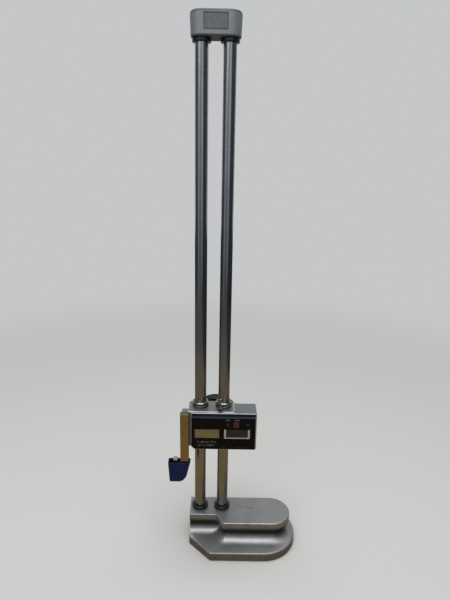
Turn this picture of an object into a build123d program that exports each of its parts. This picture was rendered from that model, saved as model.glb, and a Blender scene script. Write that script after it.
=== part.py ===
"""Digital height gauge with two columns, a rack-driven head and a covered scriber.

Millimetres. X runs to the right along the base, Y away from the reader of the
display, Z up. The origin is on the base's ground underside, midway between the
two columns. Each sub-part is written to parts/NODE.step in the assembled pose,
with the head at its stored height.
"""
from build123d import *
import math
import os

os.makedirs("parts", exist_ok=True)

# ---------------------------------------------------------------- clearances
SEAT_FIT = 0.02          # radial gap of a part seated in its bore, same body
SLIDE_FIT = 0.05         # radial gap of a bush on its column
SHAFT_FIT = 0.05         # radial gap of a turning shaft
FREE_GAP = 0.4           # least gap between pieces that pass each other

# ---------------------------------------------------------------- columns
COLUMN_PITCH = 36.0
COLUMN_R = 8.75
COLUMN_SHOW = 698.0      # length in view, from the deck to the cap
COLUMN_SEAT = 30.0       # depth of each column in the base
CAP_SEAT = 20.0          # depth of each column in the cap
COLUMN_CHAMFER = 0.6

# ---------------------------------------------------------------- base casting
BASE_H = 50.0
DECK_T = 12.5
PLINTH_T = 14.0
END_MARGIN = 16.0        # from the left column's axis to the flat left end
DECK_BACK = 20.5
DECK_FRONT_LEFT = -22.0
DECK_FRONT_RIGHT = -41.4
DECK_LENGTH = 163.0
STEP_X = 5.7             # where the deck's front starts to widen
STEP_RUN = 17.3
STEP_LEAD = 0.65         # how far the step's ends run straight, as a share of its run
WAIST_IN = 9.0           # depth of the finger groove under the deck
WAIST_UPPER_R = 5.0
WAIST_LOWER_R = 13.0
PLINTH_LENGTH = 172.0
PLINTH_FRONT = -65.0
PLINTH_BACK = 44.0
PLINTH_CHAMFER_FRONT = 34.5
PLINTH_CHAMFER_BACK = 20.0
SLOPE_RUN = 16.0
DECK_EDGE_R = 1.4
PLINTH_EDGE_R = 1.2
RELIEF_DEPTH = 1.2       # shallow relief of the ground underside
RELIEF_INSET = 16.0
COLUMN_BOLT_R = 3.0
BOLT_SEAT = 8.0          # depth of the bolt head's counterbore in the base
BOLT_DROP = 1.5          # how far the bolt heads stay above the underside

# ---------------------------------------------------------------- top cap
CAP_W = 65.6
CAP_D = 33.5
CAP_H = 29.5
CAP_CORNER_R = 15.0
CAP_DRAFT = 0.9
CAP_EDGE_R = 4.0
CAP_FOOT_R = 2.0
PANEL_W = 30.6
PANEL_H = 18.9
PANEL_SINK = 1.0
PANEL_BELOW_TOP = 4.5
GRUB_R = 2.5

# ---------------------------------------------------------------- bumpers
LOWER_BUMPER_R = 13.0
UPPER_BUMPER_R = 12.2
BUMPER_H = 5.0
BUMPER_CHAMFER = 0.9

# ---------------------------------------------------------------- rack, pinion
MODULE = 0.8
PINION_TEETH = 12
PRESSURE_ANGLE = math.radians(25.0)
TOOTH_ADD = 0.8          # addendum over the module
TOOTH_DED = 1.05         # dedendum over the module
BACKLASH = 0.12
RACK_SINK = 0.5          # rack tips below the column's inner side
RACK_BACK = 2.0          # strip behind the tooth roots
RACK_W = 5.0
RACK_END = 8.0           # plain column at each end of the rack
PINION_SIDE_GAP = 0.3    # pinion inside the rack's slot, each side
FLANK_POINTS = 4

# ---------------------------------------------------------------- head
HEAD_Z = 175.5           # stored height of the display's lower edge
HEAD_H = 60.5
FASCIA_LEFT = -31.0
FASCIA_W = 98.4
FASCIA_FRONT = -28.0
FASCIA_T = 1.4
FASCIA_RISE = 0.8        # bright upper edge above the slider's top
FASCIA_CHAMFER = 4.8
SLIDER_LEFT = -36.0
SLIDER_RIGHT = 34.0
SLIDER_FRONT = -22.0
SLIDER_BACK = 13.0
SLIDER_EDGE_R = 1.2
SLIDER_FOOT = 1.5        # slider's lower face above the display's lower edge
BUSH_R = 10.5
BUSH_L = 14.0
COLUMN_CLEAR = 0.6       # radial gap between column and slider, away from bushes

HOUSING_BACK = 6.5
HOUSING_OUT = 1.2        # housing's right side beyond the panel's right end
HOUSING_WALL = 2.2
HOUSING_WEB = 0.8
HOUSING_FOOT = 0.8
HOUSING_EDGE_R = 1.0

# ---------------------------------------------------------------- display
WINDOW_Z = 18.8          # window's lower edge above the display's lower edge
WINDOW_H = 15.6
LEFT_WINDOW_X = -26.0
LEFT_WINDOW_W = 38.0
WINDOW_SPACE = 7.2       # between the two windows
RIGHT_WINDOW_IN = 8.8    # from the window's right side to the panel's right end
WINDOW_FRAME = 3.0
WINDOW_T = 1.0
BOARD_T = 1.2
BOARD_MARGIN = 1.5
BUTTONS_IN = (42.4, 30.0, 12.4)   # button centres from the panel's right end
BUTTON_Z = 42.3
BUTTON_SIZES = ((5.2, 4.6), (8.4, 9.0), (4.4, 4.6))
BUTTON_NAMES = ("zero_button", "preset_button", "unit_button")
BUTTON_PROUD = 0.5
BUTTON_CHAMFER = 0.3
BUTTON_FLANGE = 0.8
BUTTON_FLANGE_T = 0.6
BUTTON_TRAVEL = 0.35
BUTTON_GAP = 0.3

# ---------------------------------------------------------------- battery
BATTERY_T = 3.2
BATTERY_SIDE_GAP = 1.5   # between the cell and the side of its pocket
BATTERY_Z = 25.0
COVER_SIDE = 4.3         # from the cover's rim to the housing's sides
COVER_LIP = 1.5          # cover's rim beyond its plug
COVER_RIM_T = 1.2
COIN_SLOT_W = 1.8
COIN_SLOT_IN = 5.0       # slot's ends from the cover's rim
COIN_SLOT_D = 1.4
CELL_WALL = 2.2

# ---------------------------------------------------------------- hand wheel
WHEEL_Z = 23.5           # wheel axis above the display's lower edge
WHEEL_R = 36.5
WHEEL_FRONT = 22.5
WHEEL_W = 16.0
RIM_T = 6.0
WEB_T = 4.0
HUB_R = 10.0
HUB_FRONT_GAP = 0.5
RIDGE_COUNT = 4
RIDGE_DEPTH = 1.0
SHAFT_R = 3.5
SHAFT_NOSE_R = 2.5
WHEEL_SCREW_R = 1.73
WHEEL_SCREW_L = 7.0
WHEEL_SCREW_HEAD_R = 5.25
BEARING_FLANGE_R = 14.0
BEARING_FLANGE_T = 3.0
BEARING_SLEEVE_R = 7.0
BEARING_SLEEVE_L = 5.0
BEARING_PCD = 21.0
BEARING_SCREW_R = 1.25
ENCODER_R = 9.0
ENCODER_T = 1.0
ENCODER_POCKET_R = 10.5
ENCODER_POCKET_D = 6.0
ENCODER_SLOTS = 16

# ---------------------------------------------------------------- collars, lock
COLLAR_R = 12.75
COLLAR_NECK_R = 12.0
COLLAR_H = 6.4
RING_R = 12.2
RING_H = 2.0
RING_BORE_GAP = 0.35
LOCK_OFFSET_X = -5.0     # lock hub's place from the right column's axis
LOCK_OFFSET_Y = -20.6
LOCK_Z = 3.9             # lock axis above the slider's top
LOCK_HUB_R = 3.6
LOCK_HUB_L = 5.5
LOCK_STUD_R = 1.5
LOCK_BOSS_R = 2.45
LOCK_STEM_R = 1.25
LOCK_STEM_TOP = 18.0     # top of the stem above the lock axis
LOCK_KNOB_R = 1.9

# ---------------------------------------------------------------- measuring arm
ARM_W = 12.6
ARM_D = 9.5
ARM_GAP = 0.4            # between the arm and the base's flat left end
ARM_FRONT = -35.0
ARM_TOP = 62.5           # top of the arm above the display's lower edge
ARM_PAD_W = 10.0
ARM_PAD_BACK = -8.0
ARM_PAD_Z0 = 12.5
ARM_PAD_Z1 = 58.5
ARM_SCREW_R = 2.0
ARM_SCREW_INSET = 8.0
FOOT_REACH = 26.4        # foot's left end from the arm's right side
FOOT_Z = -38.0           # foot's underside from the display's lower edge
FOOT_H = 8.4
FOOT_D = 8.0
FOOT_TAPER_W = 4.3
FOOT_TAPER_H = 22.5

# ---------------------------------------------------------------- scriber
SCRIBER_H = 8.4
SCRIBER_TIP_DROP = 4.5
SCRIBER_TIP_OUT = 1.3    # tip beyond the foot's left end
SCRIBER_TAIL_IN = 7.1    # tail from the arm's right side
SCRIBER_D = 7.2
NOSE_L = 3.4
NOSE_LAND = 2.2
CLAMP_W = 8.0
CLAMP_WALL = 1.5
CLAMP_IN = 20.1          # clamp's middle from the arm's right side
CLAMP_TOP_T = 3.4
CLAMP_GAP_Z = 1.6
CLAMP_BOTTOM_T = 3.9
THUMB_R = 4.5
THUMB_H = 12.0
THUMB_TOP = -13.5        # top of the thumb screw from the display's lower edge
THUMB_STUD_R = 2.0

# ---------------------------------------------------------------- guard
GUARD_WALL = 1.1
GUARD_TOP = -18.7        # guard's rim from the display's lower edge
GUARD_FLOOR_GAP = 0.3
GUARD_SIDE_GAP = 0.15
GUARD_TOP_SPAN = (-31.4, 2.6)      # guard's rim, from the arm's right side
GUARD_SHOULDER_IN = -3.6
GUARD_SHOULDER_H = 8.4
GUARD_BOTTOM_SPAN = (-29.2, -10.4)
GUARD_EDGE_R = 1.0
GUARD_TOE_R = 9.0

# ---------------------------------------------------------------- derived places
LEFT_X = -COLUMN_PITCH / 2
RIGHT_X = COLUMN_PITCH / 2
BASE_LEFT = LEFT_X - END_MARGIN
CAP_Z = BASE_H + COLUMN_SHOW
COLUMN_FOOT_Z = BASE_H - COLUMN_SEAT
COLUMN_TOP_Z = CAP_Z + CAP_SEAT
RACK_TIP_X = RIGHT_X - COLUMN_R + RACK_SINK
PITCH_LINE_X = RACK_TIP_X + TOOTH_ADD * MODULE
RACK_ROOT_X = PITCH_LINE_X + TOOTH_DED * MODULE
RACK_BACK_X = RACK_ROOT_X + RACK_BACK
PITCH_R = MODULE * PINION_TEETH / 2
TOOTH_PITCH = math.pi * MODULE
AXIS_X = PITCH_LINE_X - PITCH_R
PINION_W = RACK_W - 2 * PINION_SIDE_GAP
AXIS_Z = HEAD_Z + WHEEL_Z
SLIDER_Z0 = HEAD_Z + SLIDER_FOOT
SLIDER_Z1 = HEAD_Z + HEAD_H
HOUSING_Z0 = HEAD_Z + HOUSING_FOOT
FASCIA_BACK = FASCIA_FRONT + FASCIA_T
FASCIA_RIGHT = FASCIA_LEFT + FASCIA_W
HOUSING_RIGHT = FASCIA_RIGHT + HOUSING_OUT
RIGHT_WINDOW_X = LEFT_WINDOW_X + LEFT_WINDOW_W + WINDOW_SPACE
RIGHT_WINDOW_W = FASCIA_RIGHT - RIGHT_WINDOW_IN - RIGHT_WINDOW_X
BUTTON_XS = tuple(FASCIA_RIGHT - inset for inset in BUTTONS_IN)
BATTERY_X = (SLIDER_RIGHT + HOUSING_RIGHT) / 2
COVER_RIM_R = HOUSING_RIGHT - BATTERY_X - COVER_SIDE
COVER_PLUG_R = COVER_RIM_R - COVER_LIP
BATTERY_R = COVER_PLUG_R - BATTERY_SIDE_GAP
COIN_SLOT_L = 2 * (COVER_RIM_R - COIN_SLOT_IN)
BOARD_BACK = SLIDER_FRONT - HOUSING_WEB
BOARD_FRONT = BOARD_BACK - BOARD_T
ARM_RIGHT = BASE_LEFT - ARM_GAP
ARM_LEFT = ARM_RIGHT - ARM_W
ARM_BACK = ARM_FRONT + ARM_D
FOOT_LEFT = ARM_RIGHT - FOOT_REACH
CLAMP_X = ARM_RIGHT - CLAMP_IN
GUARD_TOP_LEFT, GUARD_TOP_RIGHT = (ARM_RIGHT + offset for offset in GUARD_TOP_SPAN)
GUARD_SHOULDER_RIGHT = ARM_RIGHT + GUARD_SHOULDER_IN
GUARD_BOTTOM_LEFT, GUARD_BOTTOM_RIGHT = (ARM_RIGHT + offset for offset in GUARD_BOTTOM_SPAN)
FOOT_Z0 = HEAD_Z + FOOT_Z
FOOT_Z1 = FOOT_Z0 + FOOT_H
FOOT_Y = ARM_FRONT + FOOT_D / 2
SCRIBER_Z0 = FOOT_Z0 - SCRIBER_H
SCRIBER_TIP_Z = SCRIBER_Z0 - SCRIBER_TIP_DROP
LOCK_DISTANCE = math.hypot(LOCK_OFFSET_X, LOCK_OFFSET_Y)
LOCK_DIRECTION = Vector(LOCK_OFFSET_X, LOCK_OFFSET_Y, 0).normalized()
LOCK_ORIGIN = Vector(RIGHT_X, 0, SLIDER_Z1 + LOCK_Z)

LOW = (Align.CENTER, Align.CENTER, Align.MIN)


# ---------------------------------------------------------------- helpers
def post(x, y, z0, z1, radius):
    """Upright cylinder from z0 to z1."""
    return Pos(x, y, z0) * Cylinder(radius, z1 - z0, align=LOW)


def pin(x, z, y0, y1, radius):
    """Cylinder along Y from y0 to y1."""
    return Pos(x, y0, z) * Rot(-90, 0, 0) * Cylinder(radius, y1 - y0, align=LOW)


def block(x0, x1, y0, y1, z0, z1):
    """Box between two corners."""
    centre = Pos((x0 + x1) / 2, (y0 + y1) / 2, (z0 + z1) / 2)
    return centre * Box(x1 - x0, y1 - y0, z1 - z0)


def aimed(origin, direction, shape):
    """Shape built along +Z from its origin, turned to point along direction."""
    return Plane(origin=origin, z_dir=direction).location * shape


def cap_screw(radius, length, head_r, head_h):
    """Socket-head screw: the shank runs to -Z and the head stands on z = 0."""
    shank = Pos(0, 0, -length) * Cylinder(radius, length, align=LOW)
    head = chamfer(Cylinder(head_r, head_h, align=LOW).edges().sort_by(Axis.Z)[-1], head_h * 0.1)
    socket = Pos(0, 0, head_h * 0.45) * extrude(RegularPolygon(head_r * 0.52, 6), head_h)
    return shank + head - socket


def grub_screw(radius, length):
    """Headless screw along +Z with a hexagon socket in its outer end."""
    socket = Pos(0, 0, length * 0.55) * extrude(RegularPolygon(radius * 0.55, 6), length)
    return Cylinder(radius, length, align=LOW) - socket


def profile_xz(points, y0, y1):
    """Prism from an outline of (x, z) points, between two Y planes."""
    face = make_face(Polyline(*[(x, y0, z) for x, z in points], close=True))
    return extrude(face, y1 - y0, dir=(0, 1, 0))


def save(name, *solids):
    """Write one node: a single solid, or identical pieces side by side."""
    bodies = [body for solid in solids for body in solid.solids()]
    shape = bodies[0] if len(bodies) == 1 else Compound(children=bodies)
    export_step(shape, f"parts/{name}.step")


# ---------------------------------------------------------------- base
def deck_outline(inset, z, left):
    """Deck's plan, moved in by an inset, with its left end at a given X."""
    front_left = DECK_FRONT_LEFT + inset
    front_right = DECK_FRONT_RIGHT + inset
    back = DECK_BACK - inset
    end_r = (back - front_right) / 2
    end_x = BASE_LEFT + DECK_LENGTH - inset - end_r
    middle = (front_right + back) / 2
    x0 = STEP_X + inset
    x1 = x0 + STEP_RUN
    lead = STEP_RUN * STEP_LEAD
    step = Bezier((x0, front_left, z), (x0 + lead, front_left, z),
                  (x1 - lead, front_right, z), (x1, front_right, z))
    edges = [
        Line((left, back, z), (left, front_left, z)),
        Line((left, front_left, z), (x0, front_left, z)),
        step,
        Line((x1, front_right, z), (end_x, front_right, z)),
        ThreePointArc((end_x, front_right, z), (end_x + end_r, middle, z), (end_x, back, z)),
        Line((end_x, back, z), (left, back, z)),
    ]
    return make_face(edges)


def plinth_outline(inset, z):
    """Plinth's plan, moved in by an inset on every side but the flat left end."""
    front = PLINTH_FRONT + inset
    back = PLINTH_BACK - inset
    end_r = (back - front) / 2
    end_x = BASE_LEFT + PLINTH_LENGTH - inset - end_r
    left = BASE_LEFT
    diagonal = inset * (math.sqrt(2) - 1)
    front_run = PLINTH_CHAMFER_FRONT + diagonal
    back_run = PLINTH_CHAMFER_BACK + diagonal
    middle = (front + back) / 2
    edges = [
        Line((left, back - back_run, z), (left, front + front_run, z)),
        Line((left, front + front_run, z), (left + front_run, front, z)),
        Line((left + front_run, front, z), (end_x, front, z)),
        ThreePointArc((end_x, front, z), (end_x + end_r, middle, z), (end_x, back, z)),
        Line((end_x, back, z), (left + back_run, back, z)),
        Line((left + back_run, back, z), (left, back - back_run, z)),
    ]
    return make_face(edges)


def waist():
    """Concave groove under the deck: a tight upper arc and a wide lower one."""
    spill = BASE_LEFT - END_MARGIN
    top_z = BASE_H - DECK_T
    turn_z = top_z - WAIST_UPPER_R
    upper = []
    for degrees in (0, 25, 50, 72, 90):
        turn = math.radians(degrees)
        inset = WAIST_IN - WAIST_UPPER_R * (1 - math.sin(turn))
        upper.append(deck_outline(inset, turn_z + WAIST_UPPER_R * math.cos(turn), spill))
    lower = []
    for degrees in (0, 25, 50, 75):
        turn = math.radians(degrees)
        inset = WAIST_IN - WAIST_LOWER_R * (1 - math.cos(turn))
        lower.append(deck_outline(inset, turn_z - WAIST_LOWER_R * math.sin(turn), spill))
    lower_foot = turn_z - WAIST_LOWER_R * math.sin(turn)
    foot = extrude(deck_outline(inset, lower_foot, spill), -lower_foot / 2)
    return loft(upper) + loft(lower) + foot


def base_casting():
    deck = extrude(deck_outline(0, BASE_H - DECK_T, BASE_LEFT), DECK_T)
    deck = fillet(deck.edges().group_by(Axis.Z)[-1], DECK_EDGE_R)
    plinth = extrude(plinth_outline(0, 0), PLINTH_T)
    plinth = chamfer(plinth.edges().group_by(Axis.Z)[0], PLINTH_EDGE_R)
    slope_top = BASE_H - DECK_T - WAIST_UPPER_R - WAIST_LOWER_R + 0.6
    slope = loft([plinth_outline(0, PLINTH_T), plinth_outline(SLOPE_RUN, slope_top)], ruled=True)
    body = deck + waist() + plinth + slope
    spill = block(BASE_LEFT - 2 * END_MARGIN, BASE_LEFT, PLINTH_FRONT, PLINTH_BACK, -1, BASE_H + 1)
    body -= spill
    relief_end = (PLINTH_BACK - PLINTH_FRONT) / 2 - RELIEF_INSET
    relief_x = BASE_LEFT + PLINTH_LENGTH - RELIEF_INSET - relief_end
    middle = (PLINTH_BACK + PLINTH_FRONT) / 2
    relief_left = RIGHT_X + 2 * RELIEF_INSET
    relief = block(relief_left, relief_x, middle - relief_end, middle + relief_end, 0, RELIEF_DEPTH)
    relief += post(relief_x, middle, 0, RELIEF_DEPTH, relief_end)
    body -= relief
    for x in (LEFT_X, RIGHT_X):
        body -= post(x, 0, COLUMN_FOOT_Z, BASE_H + 1, COLUMN_R + SEAT_FIT)
        body -= post(x, 0, -1, BASE_H, COLUMN_BOLT_R * 1.1)
        body -= post(x, 0, -1, BASE_H - DECK_T - COLUMN_SEAT + BOLT_SEAT + BOLT_DROP, COLUMN_BOLT_R * 1.8)
    return body


def column_bolts():
    """Screws that hold the columns from underneath."""
    seat_z = BASE_H - DECK_T - COLUMN_SEAT + BOLT_SEAT + BOLT_DROP
    reach = COLUMN_FOOT_Z - seat_z + COLUMN_BOLT_R * 4
    screw = cap_screw(COLUMN_BOLT_R, reach, COLUMN_BOLT_R * 5 / 3, COLUMN_BOLT_R * 2)
    return [aimed((x, 0, seat_z), (0, 0, -1), screw) for x in (LEFT_X, RIGHT_X)]


# ---------------------------------------------------------------- columns
def column(x):
    body = post(x, 0, COLUMN_FOOT_Z, COLUMN_TOP_Z, COLUMN_R)
    body = chamfer(body.edges().filter_by(GeomType.CIRCLE), COLUMN_CHAMFER)
    return body - post(x, 0, COLUMN_FOOT_Z - 1, COLUMN_FOOT_Z + COLUMN_BOLT_R * 5, COLUMN_BOLT_R + SEAT_FIT)


def rack_span():
    return BASE_H + BUMPER_H + RACK_END, CAP_Z - BUMPER_H - RACK_END


def rack_slot():
    """Slot along the right column's inner side that holds the rack."""
    z0, z1 = rack_span()
    half = RACK_W / 2
    return block(RIGHT_X - COLUMN_R - 1, RACK_BACK_X, -half, half, z0, z1)


def rack():
    """Toothed strip; a tooth space faces the pinion's axis at the stored height."""
    z0, z1 = rack_span()
    half = TOOTH_PITCH / 4 - BACKLASH / 4
    tip_half = half - TOOTH_ADD * MODULE * math.tan(PRESSURE_ANGLE)
    root_half = half + TOOTH_DED * MODULE * math.tan(PRESSURE_ANGLE)
    below = int((AXIS_Z - z0) / TOOTH_PITCH - 1)
    above = int((z1 - AXIS_Z) / TOOTH_PITCH - 1)
    points = [(RACK_BACK_X, z0), (RACK_ROOT_X, z0)]
    for index in range(-below, above):
        z = AXIS_Z + (index + 0.5) * TOOTH_PITCH
        points.append((RACK_ROOT_X, z - root_half))
        points.append((RACK_TIP_X, z - tip_half))
        points.append((RACK_TIP_X, z + tip_half))
        points.append((RACK_ROOT_X, z + root_half))
    points += [(RACK_ROOT_X, z1), (RACK_BACK_X, z1)]
    return profile_xz(points, -RACK_W / 2, RACK_W / 2)


def pinion_teeth():
    """Involute pinion along +Y with one tooth pointing to the rack, +X."""
    base_r = PITCH_R * math.cos(PRESSURE_ANGLE)
    outer_r = PITCH_R + TOOTH_ADD * MODULE
    root_r = PITCH_R - TOOTH_DED * MODULE
    start_r = max(base_r, root_r)
    half = math.pi / (2 * PINION_TEETH) - BACKLASH / (4 * PITCH_R)
    pitch_involute = math.tan(PRESSURE_ANGLE) - PRESSURE_ANGLE
    flank = []
    for index in range(FLANK_POINTS):
        radius = start_r + (outer_r - start_r) * index / (FLANK_POINTS - 1)
        roll = math.acos(base_r / radius)
        flank.append((radius, half + pitch_involute - (math.tan(roll) - roll)))
    points = []
    for tooth in range(PINION_TEETH):
        middle = 2 * math.pi * tooth / PINION_TEETH
        rise = [(root_r, middle - flank[0][1])] + [(r, middle - a) for r, a in flank]
        fall = [(r, middle + a) for r, a in reversed(flank)] + [(root_r, middle + flank[0][1])]
        points += rise + fall
    outline = [(AXIS_X + r * math.cos(a), AXIS_Z + r * math.sin(a)) for r, a in points]
    return profile_xz(outline, -PINION_W / 2, PINION_W / 2)


# ---------------------------------------------------------------- cap, bumpers
def top_cap():
    crown = Pos(0, 0, CAP_Z + CAP_H) * RectangleRounded(CAP_W, CAP_D, CAP_CORNER_R)
    body = extrude(crown, -CAP_H, taper=math.degrees(math.atan(CAP_DRAFT / CAP_H)))
    body = fillet(body.edges().group_by(Axis.Z)[-1], CAP_EDGE_R)
    body = fillet(body.edges().group_by(Axis.Z)[0], CAP_FOOT_R)
    panel_top = CAP_Z + CAP_H - PANEL_BELOW_TOP
    half = PANEL_W / 2
    front = -CAP_D / 2
    body -= block(-half, half, front - 1, front + PANEL_SINK, panel_top - PANEL_H, panel_top)
    for x in (LEFT_X, RIGHT_X):
        body -= post(x, 0, CAP_Z - 1, COLUMN_TOP_Z, COLUMN_R + SEAT_FIT)
        body -= pin(x, CAP_Z + CAP_SEAT / 2, 0, CAP_D, GRUB_R + SEAT_FIT)
    return body


def cap_grub_screws():
    """Set screws through the cap's back that grip the columns."""
    length = CAP_D / 2 - COLUMN_R - CAP_DRAFT - 1
    screw = grub_screw(GRUB_R, length)
    return [aimed((x, COLUMN_R, CAP_Z + CAP_SEAT / 2), (0, 1, 0), screw) for x in (LEFT_X, RIGHT_X)]


def bumpers(radius, z0):
    rings = []
    for x in (LEFT_X, RIGHT_X):
        ring = post(x, 0, z0, z0 + BUMPER_H, radius)
        ring = chamfer(ring.edges().filter_by(GeomType.CIRCLE), BUMPER_CHAMFER)
        rings.append(ring - post(x, 0, z0 - 1, z0 + BUMPER_H + 1, COLUMN_R + SEAT_FIT))
    return rings


# ---------------------------------------------------------------- slider
def slider_casting():
    body = block(SLIDER_LEFT, SLIDER_RIGHT, SLIDER_FRONT, SLIDER_BACK, SLIDER_Z0, SLIDER_Z1)
    body = fillet(body.edges().filter_by(Axis.Z).sort_by(Axis.Y)[-2:], SLIDER_EDGE_R * 4)
    pad_right = SLIDER_LEFT + 1
    pad_z0 = HEAD_Z + ARM_PAD_Z0
    pad_z1 = HEAD_Z + ARM_PAD_Z1
    body += block(SLIDER_LEFT - ARM_PAD_W, pad_right, ARM_BACK, ARM_PAD_BACK, pad_z0, pad_z1)
    body = chamfer(body.edges().filter_by(Axis.Z).sort_by(Axis.X)[:1], SLIDER_EDGE_R)
    for x in (LEFT_X, RIGHT_X):
        body -= post(x, 0, SLIDER_Z0 - 1, SLIDER_Z1 + 1, COLUMN_R + COLUMN_CLEAR)
        body -= post(x, 0, SLIDER_Z0, SLIDER_Z0 + BUSH_L, BUSH_R + SEAT_FIT)
        body -= post(x, 0, SLIDER_Z1 - BUSH_L, SLIDER_Z1, BUSH_R + SEAT_FIT)
    body -= pin(AXIS_X, AXIS_Z, -PINION_W / 2 - 1, SLIDER_BACK + 1, BEARING_SLEEVE_R + SEAT_FIT)
    body -= pin(AXIS_X, AXIS_Z, SLIDER_FRONT - 1, 0, SHAFT_NOSE_R + SHAFT_FIT)
    body -= pin(AXIS_X, AXIS_Z, SLIDER_FRONT - 1, SLIDER_FRONT + ENCODER_POCKET_D, ENCODER_POCKET_R)
    for hole in bearing_screw_places():
        body -= pin(hole.X, hole.Z, SLIDER_BACK - 5, SLIDER_BACK + 1, BEARING_SCREW_R + SEAT_FIT)
    for z in arm_screw_heights():
        body -= pin(arm_screw_x(), z, ARM_BACK - 1, ARM_PAD_BACK + 1, ARM_SCREW_R * 1.1)
        body -= pin(arm_screw_x(), z, ARM_PAD_BACK - ARM_SCREW_R * 2, ARM_PAD_BACK + 1, ARM_SCREW_R * 1.9)
    return body


def column_bushes():
    """Four plain bushes that guide the slider on the columns."""
    bushes = []
    for x in (LEFT_X, RIGHT_X):
        for z0 in (SLIDER_Z0, SLIDER_Z1 - BUSH_L):
            bore = post(x, 0, z0 - 1, z0 + BUSH_L + 1, COLUMN_R + SLIDE_FIT)
            bushes.append(post(x, 0, z0, z0 + BUSH_L, BUSH_R) - bore)
    return bushes


def bearing_screw_places():
    turns = [math.radians(30 + 120 * index) for index in range(3)]
    radius = BEARING_PCD / 2
    return [Vector(AXIS_X + radius * math.cos(t), 0, AXIS_Z + radius * math.sin(t)) for t in turns]


def pinion_bearing():
    """Flanged bearing on the slider's back that carries the wheel's shaft."""
    body = pin(AXIS_X, AXIS_Z, SLIDER_BACK, SLIDER_BACK + BEARING_FLANGE_T, BEARING_FLANGE_R)
    body = chamfer(body.edges().sort_by(Axis.Y)[-1], 0.6)
    body += pin(AXIS_X, AXIS_Z, SLIDER_BACK - BEARING_SLEEVE_L, SLIDER_BACK + 0.5, BEARING_SLEEVE_R)
    body -= pin(AXIS_X, AXIS_Z, 0, WHEEL_FRONT, SHAFT_R + SHAFT_FIT)
    for hole in bearing_screw_places():
        body -= pin(hole.X, hole.Z, SLIDER_BACK - 1, WHEEL_FRONT, BEARING_SCREW_R * 1.1)
    return body


def bearing_screws():
    screw = cap_screw(BEARING_SCREW_R, BEARING_FLANGE_T + 4, BEARING_SCREW_R * 1.8, BEARING_SCREW_R * 1.4)
    y = SLIDER_BACK + BEARING_FLANGE_T
    return [aimed((hole.X, y, hole.Z), (0, 1, 0), screw) for hole in bearing_screw_places()]


def pinion_shaft():
    """Shaft with its pinion: nose bearing and encoder seat in front, wheel behind."""
    back = WHEEL_FRONT + WHEEL_W - RIM_T
    nose_front = SLIDER_FRONT + ENCODER_POCKET_D / 2 - ENCODER_T
    body = pin(AXIS_X, AXIS_Z, -PINION_W / 2, back, SHAFT_R)
    body += pin(AXIS_X, AXIS_Z, nose_front, 0, SHAFT_NOSE_R)
    body += pinion_teeth()
    return body - pin(AXIS_X, AXIS_Z, back - WHEEL_SCREW_L - 1, back + 1, WHEEL_SCREW_R + SEAT_FIT)


def encoder_disc():
    """Slotted disc on the shaft's nose, read from the circuit board."""
    y0 = SLIDER_FRONT + ENCODER_POCKET_D / 2
    body = pin(AXIS_X, AXIS_Z, y0, y0 + ENCODER_T, ENCODER_R)
    body -= pin(AXIS_X, AXIS_Z, y0 - 1, y0 + 2, SHAFT_NOSE_R + SEAT_FIT)
    slot = block(AXIS_X + ENCODER_R - 3, AXIS_X + ENCODER_R - 1, y0 - 1, y0 + 2, AXIS_Z - 0.5, AXIS_Z + 0.5)
    centre = Axis((AXIS_X, 0, AXIS_Z), (0, 1, 0))
    for index in range(ENCODER_SLOTS):
        body -= slot.rotate(centre, 360 * index / ENCODER_SLOTS)
    return body


# ---------------------------------------------------------------- hand wheel
def hand_wheel():
    """Dished wheel with ridges round its rim, turned about the shaft."""
    y0 = WHEEL_FRONT
    y1 = WHEEL_FRONT + WHEEL_W
    hub_front = SLIDER_BACK + BEARING_FLANGE_T + BEARING_SCREW_R * 1.4 + HUB_FRONT_GAP
    inner = WHEEL_R - RIM_T
    web_y0 = (y0 + y1) / 2 - WEB_T / 2
    hub_y1 = y1 - RIM_T
    pitch = WHEEL_W / (RIDGE_COUNT * 2 + 1)
    rim = [(inner, y0), (WHEEL_R, y0)]
    for index in range(RIDGE_COUNT):
        groove = y0 + pitch * (2 * index + 1)
        rim += [(WHEEL_R, groove), (WHEEL_R - RIDGE_DEPTH, groove + pitch / 2), (WHEEL_R, groove + pitch)]
    rim += [(WHEEL_R, y1), (inner, y1), (inner - 1, web_y0 + WEB_T), (HUB_R + 1, web_y0 + WEB_T)]
    bore = SHAFT_R + SEAT_FIT
    hub = [(HUB_R, hub_y1), (bore, hub_y1), (bore, hub_front), (HUB_R, hub_front)]
    web = [(HUB_R + 1, web_y0), (inner - 1, web_y0)]
    points = [(AXIS_X + r, y, AXIS_Z) for r, y in rim + hub + web]
    return revolve(make_face(Polyline(*points, close=True)), Axis((AXIS_X, 0, AXIS_Z), (0, 1, 0)))


def wheel_screw():
    seat = WHEEL_FRONT + WHEEL_W - RIM_T
    screw = cap_screw(WHEEL_SCREW_R, WHEEL_SCREW_L, WHEEL_SCREW_HEAD_R, 3)
    return aimed((AXIS_X, seat, AXIS_Z), (0, 1, 0), screw)


# ---------------------------------------------------------------- collars, lock
def collar(x):
    """Stepped wiper housing that stands on the slider round one column."""
    step = COLLAR_H / 2
    body = post(x, 0, SLIDER_Z1, SLIDER_Z1 + step, COLLAR_R)
    body += post(x, 0, SLIDER_Z1, SLIDER_Z1 + COLLAR_H, COLLAR_NECK_R)
    return body - post(x, 0, SLIDER_Z1 - 1, SLIDER_Z1 + COLLAR_H + 1, COLUMN_R + RING_BORE_GAP)


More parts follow.
